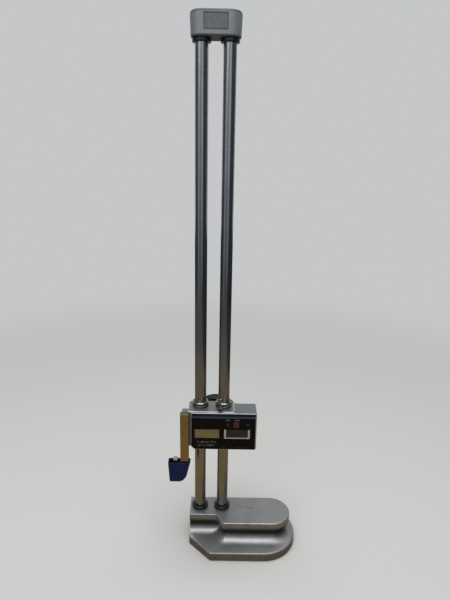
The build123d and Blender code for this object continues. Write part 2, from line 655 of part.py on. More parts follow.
def clamp_collar():
    """The right wiper housing, with the boss that takes the lock's stud."""
    boss_r0 = COLLAR_NECK_R - 1
    boss_r1 = LOCK_DISTANCE - LOCK_HUB_L / 2 - BUTTON_GAP
    boss = Pos(0, 0, boss_r0) * Cylinder(LOCK_BOSS_R, boss_r1 - boss_r0, align=LOW)
    hole = Cylinder(LOCK_STUD_R + SHAFT_FIT, LOCK_DISTANCE, align=LOW)
    body = collar(RIGHT_X) + aimed(LOCK_ORIGIN, LOCK_DIRECTION, boss)
    return body - aimed(LOCK_ORIGIN, LOCK_DIRECTION, hole)


def collar_rings():
    rings = []
    for x in (LEFT_X, RIGHT_X):
        z0 = SLIDER_Z1 + COLLAR_H
        ring = chamfer(post(x, 0, z0, z0 + RING_H, RING_R).edges().sort_by(Axis.Z)[-1], 0.8)
        rings.append(ring - post(x, 0, z0 - 1, z0 + RING_H + 1, COLUMN_R + RING_BORE_GAP))
    return rings


def lock_stud():
    start = COLUMN_R + FREE_GAP
    stud = Pos(0, 0, start) * Cylinder(LOCK_STUD_R, LOCK_DISTANCE - start, align=LOW)
    return aimed(LOCK_ORIGIN, LOCK_DIRECTION, stud)


def lock_lever():
    """Hub on the stud with a slender stem and a ball end."""
    hub = Pos(0, 0, LOCK_DISTANCE - LOCK_HUB_L / 2) * Cylinder(LOCK_HUB_R, LOCK_HUB_L, align=LOW)
    hub = chamfer(hub.edges().sort_by(Axis.Z)[-1], 0.7)
    hub -= Pos(0, 0, 0) * Cylinder(LOCK_STUD_R + SEAT_FIT, LOCK_DISTANCE, align=LOW)
    body = aimed(LOCK_ORIGIN, LOCK_DIRECTION, hub)
    centre = LOCK_ORIGIN + LOCK_DIRECTION * (LOCK_DISTANCE + LOCK_HUB_L / 8)
    stem_top = centre.Z + LOCK_STEM_TOP - LOCK_KNOB_R
    stem = Pos(centre.X, centre.Y, centre.Z + LOCK_HUB_R / 2 + 1) * Cone(
        LOCK_STEM_R * 1.3, LOCK_STEM_R, stem_top - centre.Z - LOCK_HUB_R / 2 - 1, align=LOW)
    knob = Pos(centre.X, centre.Y, stem_top) * Sphere(LOCK_KNOB_R)
    return body + stem + knob


# ---------------------------------------------------------------- display unit
def fascia():
    """Front panel with two window openings, three button holes and a cut corner."""
    z0 = HEAD_Z
    z1 = SLIDER_Z1 + FASCIA_RISE
    cut = FASCIA_CHAMFER
    outline = [(FASCIA_LEFT + cut, z0), (FASCIA_RIGHT, z0), (FASCIA_RIGHT, z1),
               (FASCIA_LEFT, z1), (FASCIA_LEFT, z0 + cut)]
    body = profile_xz(outline, FASCIA_FRONT, FASCIA_BACK)
    for x, width in window_places():
        body -= block(x, x + width, FASCIA_FRONT - 1, FASCIA_BACK + 1, *window_heights())
    for x, (width, height) in zip(BUTTON_XS, BUTTON_SIZES):
        z = HEAD_Z + BUTTON_Z
        half_w = width / 2 + BUTTON_GAP
        half_h = height / 2 + BUTTON_GAP
        body -= block(x - half_w, x + half_w, FASCIA_FRONT - 1, FASCIA_BACK + 1, z - half_h, z + half_h)
    return body


def window_places():
    return ((LEFT_WINDOW_X, LEFT_WINDOW_W), (RIGHT_WINDOW_X, RIGHT_WINDOW_W))


def window_heights():
    return HEAD_Z + WINDOW_Z, HEAD_Z + WINDOW_Z + WINDOW_H


def window_frame():
    """Pale U-shaped frame round the right window's sides and lower edge."""
    z0, z1 = window_heights()
    x0 = RIGHT_WINDOW_X
    x1 = x0 + RIGHT_WINDOW_W
    body = block(x0, x1, FASCIA_FRONT, FASCIA_BACK, z0, z1)
    inner = block(x0 + WINDOW_FRAME, x1 - WINDOW_FRAME, FASCIA_FRONT - 1, FASCIA_BACK + 1,
                  z0 + WINDOW_FRAME / 2, z1 + 1)
    return body - inner


def window(x, width, z0, z1):
    return block(x, x + width, FASCIA_BACK - WINDOW_T, FASCIA_BACK, z0, z1)


def left_window():
    return window(LEFT_WINDOW_X, LEFT_WINDOW_W, *window_heights())


def right_window():
    z0, z1 = window_heights()
    width = RIGHT_WINDOW_W - 2 * WINDOW_FRAME
    return window(RIGHT_WINDOW_X + WINDOW_FRAME, width, z0 + WINDOW_FRAME / 2, z1)


def display_module(x, width):
    """Display cell between the board and its window."""
    z0, z1 = window_heights()
    return block(x, x + width, FASCIA_BACK, BOARD_FRONT, z0, z1)


def display_housing():
    """Open-fronted housing: shallow before the slider, deep to its right."""
    x0 = FASCIA_LEFT + HOUSING_WALL
    x1 = HOUSING_RIGHT - HOUSING_WALL
    z0 = HOUSING_Z0 + HOUSING_WALL
    z1 = SLIDER_Z1 - HOUSING_WALL
    cut = FASCIA_CHAMFER
    outline = [(FASCIA_LEFT + cut, HOUSING_Z0), (HOUSING_RIGHT, HOUSING_Z0), (HOUSING_RIGHT, SLIDER_Z1),
               (FASCIA_LEFT, SLIDER_Z1), (FASCIA_LEFT, HOUSING_Z0 + cut)]
    body = profile_xz(outline, FASCIA_BACK, SLIDER_FRONT)
    box = block(SLIDER_RIGHT, HOUSING_RIGHT, FASCIA_BACK, HOUSING_BACK, HOUSING_Z0, SLIDER_Z1)
    box = fillet(box.edges().group_by(Axis.Y)[-1], HOUSING_EDGE_R)
    body += box
    body -= block(x0 + cut, x1, FASCIA_BACK - 1, BOARD_BACK, z0, z1)
    body -= block(x0, x1, FASCIA_BACK - 1, BOARD_BACK, z0 + cut, z1)
    body -= block(SLIDER_RIGHT + HOUSING_WALL, x1, FASCIA_BACK, HOUSING_BACK - HOUSING_WALL, z0, z1)
    cell_z = HEAD_Z + BATTERY_Z
    cell_floor = HOUSING_BACK - HOUSING_WALL - BATTERY_T - CELL_WALL
    body += pin(BATTERY_X, cell_z, cell_floor, HOUSING_BACK - HOUSING_WALL, COVER_PLUG_R + CELL_WALL)
    body -= pin(BATTERY_X, cell_z, cell_floor + CELL_WALL, HOUSING_BACK + 1, COVER_PLUG_R + SHAFT_FIT)
    body -= pin(AXIS_X, AXIS_Z, BOARD_BACK - 1, SLIDER_FRONT + 1, ENCODER_R / 2)
    return body


def circuit_board():
    x0 = FASCIA_LEFT + HOUSING_WALL + FASCIA_CHAMFER + BOARD_MARGIN
    x1 = FASCIA_RIGHT - HOUSING_WALL - BOARD_MARGIN
    z0 = HOUSING_Z0 + HOUSING_WALL + BOARD_MARGIN
    z1 = SLIDER_Z1 - HOUSING_WALL - BOARD_MARGIN
    return block(x0, x1, BOARD_FRONT, BOARD_BACK, z0, z1)


def read_head():
    """Optical reader on the board's back that faces the encoder disc."""
    y1 = SLIDER_FRONT + ENCODER_POCKET_D / 2 - ENCODER_T - FREE_GAP
    z = AXIS_Z + ENCODER_R / 4
    return block(AXIS_X - 2, AXIS_X + 2, BOARD_BACK, y1, z - 1, z + 1)


def button(index):
    """Push button, held behind the panel by its flange."""
    width, height = BUTTON_SIZES[index]
    x = BUTTON_XS[index]
    z = HEAD_Z + BUTTON_Z
    cap = block(x - width / 2, x + width / 2, FASCIA_FRONT - BUTTON_PROUD, FASCIA_BACK,
                z - height / 2, z + height / 2)
    cap = chamfer(cap.edges().group_by(Axis.Y)[0], BUTTON_CHAMFER)
    half_w = width / 2 + BUTTON_FLANGE
    half_h = height / 2 + BUTTON_FLANGE
    flange_back = FASCIA_BACK + BUTTON_FLANGE_T
    return cap + block(x - half_w, x + half_w, FASCIA_BACK, flange_back, z - half_h, z + half_h)


def board_switches():
    """One switch on the board behind each button."""
    y0 = FASCIA_BACK + BUTTON_FLANGE_T + BUTTON_TRAVEL + BUTTON_GAP
    z = HEAD_Z + BUTTON_Z
    return [block(x - 1.5, x + 1.5, y0, BOARD_FRONT, z - 1.5, z + 1.5) for x in BUTTON_XS]


def battery():
    y0 = HOUSING_BACK - HOUSING_WALL - BATTERY_T
    return pin(BATTERY_X, HEAD_Z + BATTERY_Z, y0, y0 + BATTERY_T, BATTERY_R)


def battery_cover():
    """Round cover with a coin slot, turned to lock."""
    z = HEAD_Z + BATTERY_Z
    rim_y = HOUSING_BACK + COVER_RIM_T
    rim = pin(BATTERY_X, z, HOUSING_BACK, rim_y, COVER_RIM_R)
    rim = chamfer(rim.edges().sort_by(Axis.Y)[-1], 0.5)
    body = rim + pin(BATTERY_X, z, HOUSING_BACK - HOUSING_WALL, HOUSING_BACK, COVER_PLUG_R)
    half = COIN_SLOT_L / 2
    slot_z = COIN_SLOT_W / 2
    slot_floor = rim_y - COIN_SLOT_D
    return body - block(BATTERY_X - half, BATTERY_X + half, slot_floor, rim_y + 1, z - slot_z, z + slot_z)


# ---------------------------------------------------------------- arm, scriber
def measuring_arm():
    """Upright bar with a foot to the left; its lower right corner tapers in."""
    top = HEAD_Z + ARM_TOP
    bar = block(ARM_LEFT, ARM_RIGHT, ARM_FRONT, ARM_BACK, FOOT_Z0, top)
    bar += block(FOOT_LEFT, ARM_RIGHT, ARM_FRONT, ARM_FRONT + FOOT_D, FOOT_Z0, FOOT_Z1)
    taper = [(ARM_RIGHT + 1, FOOT_Z0 - 1), (ARM_RIGHT - FOOT_TAPER_W, FOOT_Z0 - 1),
             (ARM_RIGHT - FOOT_TAPER_W, FOOT_Z0), (ARM_RIGHT, FOOT_Z0 + FOOT_TAPER_H),
             (ARM_RIGHT + 1, FOOT_Z0 + FOOT_TAPER_H)]
    bar -= profile_xz(taper, ARM_FRONT - 1, ARM_BACK + 1)
    bar = chamfer(bar.edges().group_by(Axis.Z)[-1], 0.8)
    for z in arm_screw_heights():
        bar -= pin(arm_screw_x(), z, ARM_BACK - ARM_SCREW_R * 3, ARM_BACK + 1, ARM_SCREW_R + SEAT_FIT)
    return bar


def arm_screw_x():
    return SLIDER_LEFT - ARM_PAD_W / 2


def arm_screw_heights():
    return HEAD_Z + ARM_PAD_Z0 + ARM_SCREW_INSET, HEAD_Z + ARM_PAD_Z1 - ARM_SCREW_INSET


def arm_screws():
    seat = ARM_PAD_BACK - ARM_SCREW_R * 2
    length = seat - ARM_BACK + ARM_SCREW_R * 2.5
    screw = cap_screw(ARM_SCREW_R, length, ARM_SCREW_R * 1.75, ARM_SCREW_R * 2)
    return [aimed((arm_screw_x(), seat, z), (0, 1, 0), screw) for z in arm_screw_heights()]


def scriber():
    """Scriber with a dropped, bevelled nose; its land is the measuring edge."""
    tip = FOOT_LEFT - SCRIBER_TIP_OUT
    tail = ARM_RIGHT - SCRIBER_TAIL_IN
    heel = tip + NOSE_L
    outline = [(tip, SCRIBER_TIP_Z), (tip + NOSE_LAND, SCRIBER_TIP_Z), (heel, SCRIBER_Z0), (tail - 1, SCRIBER_Z0),
               (tail, SCRIBER_Z0 + 1), (tail, FOOT_Z0), (heel, FOOT_Z0), (tip, SCRIBER_TIP_Z + 2.2)]
    half = SCRIBER_D / 2
    return profile_xz(outline, FOOT_Y - half, FOOT_Y + half)


def scriber_clamp():
    """Box frame round the foot and the scriber."""
    x0 = CLAMP_X - CLAMP_W / 2
    x1 = CLAMP_X + CLAMP_W / 2
    half = FOOT_D / 2 + SEAT_FIT
    top = FOOT_Z1 + CLAMP_GAP_Z + CLAMP_TOP_T
    body = block(x0, x1, FOOT_Y - half - CLAMP_WALL, FOOT_Y + half + CLAMP_WALL,
                 SCRIBER_Z0 - CLAMP_BOTTOM_T, top)
    body = fillet(body.edges().filter_by(Axis.X), 1.0)
    body -= block(x0 - 1, x1 + 1, FOOT_Y - half, FOOT_Y + half, SCRIBER_Z0, FOOT_Z1 + CLAMP_GAP_Z)
    return body - post(CLAMP_X, FOOT_Y, FOOT_Z1, top + 1, THUMB_STUD_R + SHAFT_FIT)


def thumb_screw():
    """Knurled screw that presses the foot and the scriber together."""
    top = HEAD_Z + THUMB_TOP
    neck = top - THUMB_H + 2
    head = post(CLAMP_X, FOOT_Y, neck, top, THUMB_R)
    head = chamfer(head.edges().filter_by(GeomType.CIRCLE), 0.5)
    return head + post(CLAMP_X, FOOT_Y, FOOT_Z1, neck, THUMB_STUD_R)


def guard_face(inset, z_extra):
    """Guard's outline in XZ, moved in by an inset; z_extra raises its rim."""
    z0 = SCRIBER_TIP_Z - GUARD_FLOOR_GAP - GUARD_WALL + inset
    shoulder = z0 - inset + GUARD_SHOULDER_H
    z1 = HEAD_Z + GUARD_TOP
    lean = (GUARD_TOP_RIGHT - GUARD_SHOULDER_RIGHT) / (z1 - shoulder)
    left_lean = (GUARD_TOP_LEFT - GUARD_BOTTOM_LEFT) / (z1 - z0)
    points = [
        (GUARD_BOTTOM_LEFT + inset, z0),
        (GUARD_BOTTOM_RIGHT - inset * 0.4, z0),
        (GUARD_SHOULDER_RIGHT - inset, shoulder + inset * 0.3),
        (GUARD_TOP_RIGHT - inset + lean * z_extra, z1 + z_extra),
        (GUARD_TOP_LEFT + inset + left_lean * z_extra, z1 + z_extra),
    ]
    return points


def scriber_guard():
    """Tapered cup that slips over the scriber, its clamp and the arm's end."""
    half = FOOT_D / 2 + SEAT_FIT + CLAMP_WALL + GUARD_SIDE_GAP
    outer = profile_xz(guard_face(0, 0), FOOT_Y - half - GUARD_WALL, FOOT_Y + half + GUARD_WALL)
    inner = profile_xz(guard_face(GUARD_WALL, 5), FOOT_Y - half, FOOT_Y + half)
    outer = round_toe(outer, GUARD_TOE_R)
    inner = round_toe(inner, GUARD_TOE_R - GUARD_WALL)
    rim = outer.edges().group_by(Axis.Z)[-1]
    sides = outer.faces().sort_by(Axis.Y)
    outlines = [edge for edge in sides[0].edges() + sides[-1].edges() if edge not in rim]
    outer = fillet(outlines, GUARD_EDGE_R)
    return outer - inner


def round_toe(shape, radius):
    """Round the two lower right corners of the guard's outline."""
    across = shape.edges().filter_by(Axis.Y)
    toe = [edge for edge in across
           if GUARD_TOP_RIGHT - edge.center().X > 1 and edge.center().X > GUARD_BOTTOM_RIGHT - 2]
    return fillet(toe, radius)


# ---------------------------------------------------------------- output
save("base_casting", base_casting())
save("column_bolts", *column_bolts())
save("left_column", column(LEFT_X))
save("right_column", column(RIGHT_X) - rack_slot())
save("column_rack", rack())
save("lower_bumpers", *bumpers(LOWER_BUMPER_R, BASE_H))
save("upper_bumpers", *bumpers(UPPER_BUMPER_R, CAP_Z - BUMPER_H))
save("top_cap", top_cap())
save("cap_grub_screws", *cap_grub_screws())
save("slider_casting", slider_casting())
save("column_bushes", *column_bushes())
save("left_collar", collar(LEFT_X))
save("clamp_collar", clamp_collar())
save("collar_rings", *collar_rings())
save("lock_stud", lock_stud())
save("lock_lever", lock_lever())
save("pinion_bearing", pinion_bearing())
save("bearing_screws", *bearing_screws())
save("pinion_shaft", pinion_shaft())
save("encoder_disc", encoder_disc())
save("hand_wheel", hand_wheel())
save("wheel_screw", wheel_screw())
save("display_housing", display_housing())
save("fascia", fascia())
save("left_window", left_window())
save("right_window", right_window())
save("window_frame", window_frame())
save("left_display", display_module(LEFT_WINDOW_X, LEFT_WINDOW_W))
save("right_display", display_module(RIGHT_WINDOW_X, RIGHT_WINDOW_W))
save("circuit_board", circuit_board())
save("read_head", read_head())
save("board_switches", *board_switches())
for number, name in enumerate(BUTTON_NAMES):
    save(name, button(number))
save("battery", battery())
save("battery_cover", battery_cover())
save("measuring_arm", measuring_arm())
save("arm_screws", *arm_screws())
save("scriber", scriber())
save("scriber_clamp", scriber_clamp())
save("thumb_screw", thumb_screw())
save("scriber_guard", scriber_guard())
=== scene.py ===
"""Looks of a double-column digital height gauge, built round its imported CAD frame.

Every size is in metres, in the frame's own axes: X runs to the right along the base, Y
away from the reader of the display and Z up. Each sub-assembly is a class that holds its
sizes and has methods that build its meshes and dress them; each finish is a frozen
dataclass named for the real material.
"""

import logging
import math
from dataclasses import dataclass
from enum import Enum
from typing import Any, Sequence

import bmesh
import bpy
from mathutils import Matrix, Vector


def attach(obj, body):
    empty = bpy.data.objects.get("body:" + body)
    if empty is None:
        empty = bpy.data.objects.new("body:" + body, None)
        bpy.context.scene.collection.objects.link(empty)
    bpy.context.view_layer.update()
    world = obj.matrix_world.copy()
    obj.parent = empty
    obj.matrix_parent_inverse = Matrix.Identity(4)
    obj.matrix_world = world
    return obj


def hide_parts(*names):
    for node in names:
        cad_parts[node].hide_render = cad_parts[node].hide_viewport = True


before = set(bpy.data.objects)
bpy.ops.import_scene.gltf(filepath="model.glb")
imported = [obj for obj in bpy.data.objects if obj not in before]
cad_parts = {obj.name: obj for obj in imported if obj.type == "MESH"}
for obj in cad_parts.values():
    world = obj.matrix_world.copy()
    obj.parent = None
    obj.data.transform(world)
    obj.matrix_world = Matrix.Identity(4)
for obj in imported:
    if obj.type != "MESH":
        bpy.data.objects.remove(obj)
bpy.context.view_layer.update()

LOG = logging.getLogger("height_gauge")
WEAR = "wear"

Point = tuple[float, float, float]
Corner = tuple[float, float, float]
Pair = tuple[float, float]
Box = tuple[Point, Point, float, float]
Tree = bpy.types.NodeTree
Socket = bpy.types.NodeSocket
Material = bpy.types.Material
Piece = bpy.types.Object
Mesh = bmesh.types.BMesh
Layer = tuple[str, Socket]

MM = 0.001
PAST = 1 * MM
"""How far a cutter reaches past what it cuts."""
MERGED = 1e-7
"""Distance below which two points are one."""
COLUMN_X: Pair = (-18 * MM, 18 * MM)
PINION: Pair = (5.59 * MM, 199 * MM)
"""X and Z of the pinion's and the hand wheel's axis."""
HEAD_TOP = 236 * MM
SCRIBER_Y = -31 * MM


class Pattern(Enum):
    """How a surface's fine marks run."""

    GRAIN = "even grain of a casting or a moulding"
    AROUND = "turned or ground marks round an upright axis"
    ALONG = "marks along an upright piece"


# ---------------------------------------------------------------- shading
def linear(hex_colour: str) -> tuple[float, float, float, float]:
    """Turn an sRGB hex colour into linear light.

    Args:
        hex_colour: Six hexadecimal digits after a hash sign.

    Returns:
        Linear red, green and blue, and full opacity.
    """
    channels = [int(hex_colour[i:i + 2], 16) / 255 for i in (1, 3, 5)]
    low, knee = 12.92, 0.04045
    light = [c / low if c <= knee else ((c + 0.055) / 1.055) ** 2.4 for c in channels]
    return (light[0], light[1], light[2], 1.0)


def add_node(tree: Tree, kind: str, settings: dict[Any, Any] | None = None,
             links: dict[Any, Socket] | None = None) -> bpy.types.Node:
    """Add one node with its settings and incoming links.

    Args:
        tree: Node tree to add to.
        kind: Blender's identifier for the node.
        settings: Node attributes or input sockets, with their values.
        links: Input sockets, with the output sockets that feed them.

    Returns:
        The new node.
    """
    node = tree.nodes.new(kind)
    for key, value in (settings or {}).items():
        if isinstance(key, str) and hasattr(node, key):
            setattr(node, key, value)
        else:
            node.inputs[key].default_value = value
    for key, socket in (links or {}).items():
        tree.links.new(socket, node.inputs[key])
    return node


def new_material(name: str) -> tuple[Material, Tree, bpy.types.Node]:
    """Start a material.

    Args:
        name: The material's name.

    Returns:
        The material, its node tree and its shader.
    """
    material = bpy.data.materials.new(name)
    material.use_nodes = True
    return material, material.node_tree, material.node_tree.nodes["Principled BSDF"]


@dataclass(frozen=True)
class Finish:
    """What every finish shares: its material's name, tone, gloss and fine marks.

    Real grain and grinding marks are near 0.05 mm wide, too fine to show, so grain_size
    draws them about ten times as coarse, and grain_depth keeps their real depth.
    """

    name: str = "finish"
    tone: str = "#808080"
    cloud_tone: str = "#909090"
    metallic: float = 0.0
    sheen_level: float = 0.5
    roughness: float = 0.5
    roughness_swing: float = 0.08
    mottle: float = 0.25
    cloud_size: float = 18 * MM
    cloud_share: Pair = (0.35, 0.7)
    grain_size: float = 0.5 * MM
    grain_depth: float = 0.02 * MM
    grain_strength: float = 0.6
    grain_share: Pair = (0.3, 0.7)
    noise_roughness: float = 0.55
    pattern: Pattern = Pattern.GRAIN
    line_stretch: float = 30.0
    edge_tone: str = ""
    edge_chip: float = 3 * MM
    edge_share: Pair = (0.42, 0.56)
    # Tone and boxes of painted shade, which darken a surface where shade falls.
    shade_tone: str = "#34332e"
    shade_boxes: tuple[Box, ...] = ()

    def patches(self, tree: Tree, vector: Socket, size: float, octaves: float, share: Pair,
                most: float = 1.0) -> Socket:
        """Cover part of the surface with soft patches.

        Args:
            tree: Node tree to add to.
            vector: Coordinates in metres.
            size: Typical width of a patch.
            octaves: Octaves of finer noise.
            share: Noise values at which a patch begins and is full.
            most: Value where it is full.

        Returns:
            The patches' socket.
        """
        settings = {"Scale": 1 / size, "Detail": octaves, "Roughness": self.noise_roughness}
        blobs = add_node(tree, "ShaderNodeTexNoise", settings, {"Vector": vector})
        settings = {"From Min": share[0], "From Max": share[1], "To Max": most}
        return add_node(tree, "ShaderNodeMapRange", settings, {"Value": blobs.outputs["Fac"]}).outputs[0]

    def stretched(self, tree: Tree, vector: Socket) -> Socket:
        """Squeeze the coordinates so that noise turns into lines, as the pattern says.

        Args:
            tree: Node tree to add to.
            vector: Coordinates in metres.

        Returns:
            The squeezed coordinates' socket.
        """
        thin = 1 / self.line_stretch
        squeeze = {
            Pattern.GRAIN: (1.0, 1.0, 1.0),
            Pattern.AROUND: (thin, thin, 1.0),
            Pattern.ALONG: (1.0, 1.0, thin),
        }[self.pattern]
        node = add_node(tree, "ShaderNodeVectorMath", {"operation": "MULTIPLY", 1: squeeze}, {0: vector})
        return node.outputs[0]

    def worn(self, tree: Tree, vector: Socket) -> Socket:
        """Find the bare metal: faces marked as worn, broken up by chips.

        Args:
            tree: Node tree to add to.
            vector: Coordinates in metres.

        Returns:
            The share of bare metal.
        """
        mark = add_node(tree, "ShaderNodeAttribute", {"attribute_name": WEAR}).outputs["Fac"]
        chips = self.patches(tree, vector, self.edge_chip, 5.0, self.edge_share)
        return add_node(tree, "ShaderNodeMath", {"operation": "MULTIPLY"}, {0: mark, 1: chips}).outputs[0]

    def boxed(self, tree: Tree, vector: Socket, low: Point, high: Point, soft: float,
              most: float) -> Socket:
        """Mark the inside of a box, where shade is painted.

        Args:
            tree: Node tree to add to.
            vector: Coordinates in metres.
            low: The box's lowest corner.
            high: The box's highest corner.
            soft: Distance outside the box over which the mark fades.
            most: Share inside the box.

        Returns:
            The share's socket.
        """
        middle = tuple((a + b) / 2 for a, b in zip(low, high))
        half = tuple((b - a) / 2 for a, b in zip(low, high))
        # How far outside the box a point is, along each axis.
        away = vector
        for settings in ({"operation": "SUBTRACT", 1: middle}, {"operation": "ABSOLUTE"},
                         {"operation": "SUBTRACT", 1: half}, {"operation": "MAXIMUM", 1: (0, 0, 0)}):
            away = add_node(tree, "ShaderNodeVectorMath", settings, {0: away}).outputs[0]
        reach = add_node(tree, "ShaderNodeVectorMath", {"operation": "LENGTH"}, {0: away})
        settings = {"From Min": 0.0, "From Max": soft, "To Min": most, "To Max": 0.0}
        return add_node(tree, "ShaderNodeMapRange", settings, {"Value": reach.outputs["Value"]}).outputs[0]

    def marks(self, tree: Tree, vector: Socket) -> list[Layer]:
        """List what a finish draws over its clouds, with each tone's share; here nothing."""
        return []

    def layers(self, tree: Tree, vector: Socket) -> list[Layer]:
        """List the tones that lie over the plain one, from the lowest up.

        Args:
            tree: Node tree to add to.
            vector: Coordinates in metres.

        Returns:
            Each tone with its share.
        """
        clouds = self.patches(tree, vector, self.cloud_size, 3.0, self.cloud_share, self.mottle)
        # Painted shade inside each box.
        painted_shade = [(self.shade_tone, self.boxed(tree, vector, *box)) for box in self.shade_boxes]
        bare = [(self.edge_tone, self.worn(tree, vector))] if self.edge_tone else []
        return [(self.cloud_tone, clouds), *self.marks(tree, vector), *painted_shade, *bare]

    def gloss(self, shader: bpy.types.Node) -> None:
        """Set what else a finish has on its shader; here nothing."""

    def material(self) -> Material:
        """Build the material.

        Returns:
            The finished material.
        """
        material, tree, shader = new_material(self.name)
        vector = add_node(tree, "ShaderNodeTexCoord").outputs["Object"]
        # The first tone goes over the plain one, and each later one over the last.
        under: dict[int, Socket] = {}
        for tone, share in self.layers(tree, vector):
            settings = {"data_type": "RGBA", 6: linear(self.tone), 7: linear(tone)}
            under = {6: add_node(tree, "ShaderNodeMix", settings, {0: share, **under}).outputs[2]}
        tree.links.new(under[6], shader.inputs["Base Color"])
        shader.inputs["Metallic"].default_value = self.metallic
        shader.inputs["Specular IOR Level"].default_value = self.sheen_level
        settings = {"Scale": 1 / self.grain_size, "Detail": 4.0, "Roughness": self.noise_roughness}
        grain = add_node(tree, "ShaderNodeTexNoise", settings, {"Vector": self.stretched(tree, vector)})
        settings = {"From Min": self.grain_share[0], "From Max": self.grain_share[1],
                    "To Min": self.roughness - self.roughness_swing,
                    "To Max": self.roughness + self.roughness_swing}
        swing = add_node(tree, "ShaderNodeMapRange", settings, {"Value": grain.outputs["Fac"]})
        tree.links.new(swing.outputs[0], shader.inputs["Roughness"])
        settings = {"Strength": self.grain_strength, "Distance": self.grain_depth}
        bump = add_node(tree, "ShaderNodeBump", settings, {"Height": grain.outputs["Fac"]})
        tree.links.new(bump.outputs[0], shader.inputs["Normal"])
        self.gloss(shader)
        return material


@dataclass(frozen=True)
class LacqueredCastIron(Finish):
    """Machined grey iron under clear lacquer: satin grey, bare and bright where edges are worn."""

    name: str = "lacquered_cast_iron"
    tone: str = "#8a8b8b"
    cloud_tone: str = "#979898"
    metallic: float = 0.75
    roughness: float = 0.36
    roughness_swing: float = 0.06
    mottle: float = 0.7
    cloud_size: float = 26 * MM
    grain_size: float = 0.8 * MM
    grain_depth: float = 0.015 * MM
    edge_tone: str = "#a9a9a6"
    stain_tone: str = "#5d5348"
    stain_size: float = 34 * MM
    stain_share: Pair = (0.58, 0.78)
    stain_depth: float = 0.45
    scratch_tone: str = "#5a4436"
    scratch_core: float = 0.3
    scratch_fade: Pair = (0.2, 0.7)
    scratch_chip: float = 5 * MM
    scratch_share: Pair = (0.35, 0.6)
    scratches: tuple[tuple[Pair, Pair, float], ...] = ()

    def scratch(self, tree: Tree, vector: Socket, start: Pair, end: Pair, width: float) -> Socket:
        """Draw a rubbed line in plan, fading at its ends and broken along its run.

        Args:
            tree: Node tree to add to.
            vector: Coordinates in metres.
            start: X and Y of the line's start.
            end: X and Y of its end.
            width: Half width of the mark.

        Returns:
            The share's socket.
        """
        run = Vector((end[0] - start[0], end[1] - start[1], 0))
        along, across = run.normalized(), Vector((-run.y, run.x, 0)).normalized()
        local = add_node(tree, "ShaderNodeVectorMath", {"operation": "SUBTRACT", 1: (*start, 0)},
                         {0: vector})
        place, off = (add_node(tree, "ShaderNodeVectorMath", {"operation": "DOT_PRODUCT", 1: direction},
                               {0: local.outputs[0]}).outputs["Value"] for direction in (along, across))
        far = add_node(tree, "ShaderNodeMath", {"operation": "ABSOLUTE"}, {0: off}).outputs[0]
        shares = [add_node(tree, "ShaderNodeMapRange", {"From Min": none, "From Max": full},
                           {"Value": value}).outputs[0]
                  for value, none, full in ((far, width, self.scratch_core * width),
                                            (place, 0.0, self.scratch_fade[0] * run.length),
                                            (place, run.length, self.scratch_fade[1] * run.length))]
        shares.append(self.patches(tree, vector, self.scratch_chip, 4.0, self.scratch_share))
        product = shares[0]
        for share in shares[1:]:
            product = add_node(tree, "ShaderNodeMath", {"operation": "MULTIPLY"},
                               {0: product, 1: share}).outputs[0]
        return product

    def marks(self, tree: Tree, vector: Socket) -> list[Layer]:
        """List the oily stains and the rubbed lines.

        Args:
            tree: Node tree to add to.
            vector: Coordinates in metres.

        Returns:
            Each tone with its share.
        """
        stains = self.patches(tree, vector, self.stain_size, 6.0, self.stain_share, self.stain_depth)
        rubbed = [(self.scratch_tone, self.scratch(tree, vector, *line)) for line in self.scratches]
        return [(self.stain_tone, stains), *rubbed]


@dataclass(frozen=True)
class PaintedIron(LacqueredCastIron):
    """Cast iron under satin grey paint, which stays grey where it turns away from the eye."""

    name: str = "painted_iron"
    tone: str = "#8a8d90"
    cloud_tone: str = "#94979a"
    metallic: float = 0.5
    roughness: float = 0.44
    stain_size: float = 18 * MM
    edge_tone: str = ""
    rim_tone: str = "#5c5e60"

    def gloss(self, shader: bpy.types.Node) -> None:
        """Hold the shine back at grazing angles."""
        shader.inputs["Specular Tint"].default_value = linear(self.rim_tone)


@dataclass(frozen=True)
class GroundSteel(Finish):
    """Hard steel ground round its axis: a dark mirror that smears light along the piece."""

    name: str = "ground_steel"
    tone: str = "#a3a5a9"
    cloud_tone: str = "#8f9093"
    metallic: float = 1.0
    roughness: float = 0.16
    roughness_swing: float = 0.05
    mottle: float = 0.6
    cloud_size: float = 45 * MM
    grain_depth: float = 0.002 * MM
    pattern: Pattern = Pattern.AROUND
    smear: float = 0.75

    def gloss(self, shader: bpy.types.Node) -> None:
        """Stretch highlights along the axis, as marks that run round it do.

        Args:
            shader: The material's shader.
        """
        shader.inputs["Anisotropic"].default_value = self.smear
        tree = shader.id_data
        tangent = add_node(tree, "ShaderNodeTangent", {"direction_type": "RADIAL", "axis": "Z"})
        tree.links.new(tangent.outputs[0], shader.inputs["Tangent"])


@dataclass(frozen=True)
class FlatGroundSteel(Finish):
    """Surface-ground bar: warm grey steel with fine marks along it and bright arrises."""

    name: str = "flat_ground_steel"
    tone: str = "#b19c74"
    cloud_tone: str = "#9b8862"
    metallic: float = 1.0
    roughness: float = 0.27
    roughness_swing: float = 0.07
    mottle: float = 0.8
    cloud_size: float = 30 * MM
    grain_depth: float = 0.004 * MM
    pattern: Pattern = Pattern.ALONG
    edge_tone: str = "#8d7d5e"


@dataclass(frozen=True)
class MilledSteel(Finish):
    """Milled tooth flanks: duller and darker than the ground columns."""

    name: str = "milled_steel"
    tone: str = "#6f6c66"
    cloud_tone: str = "#595650"
    metallic: float = 1.0
    roughness: float = 0.34


@dataclass(frozen=True)
class BlackOxideSteel(Finish):
    """Blackened screws: near black with a brown cast and an oily sheen."""

    name: str = "black_oxide_steel"
    tone: str = "#2b2928"
    cloud_tone: str = "#3d3935"
    metallic: float = 0.9
    roughness: float = 0.36


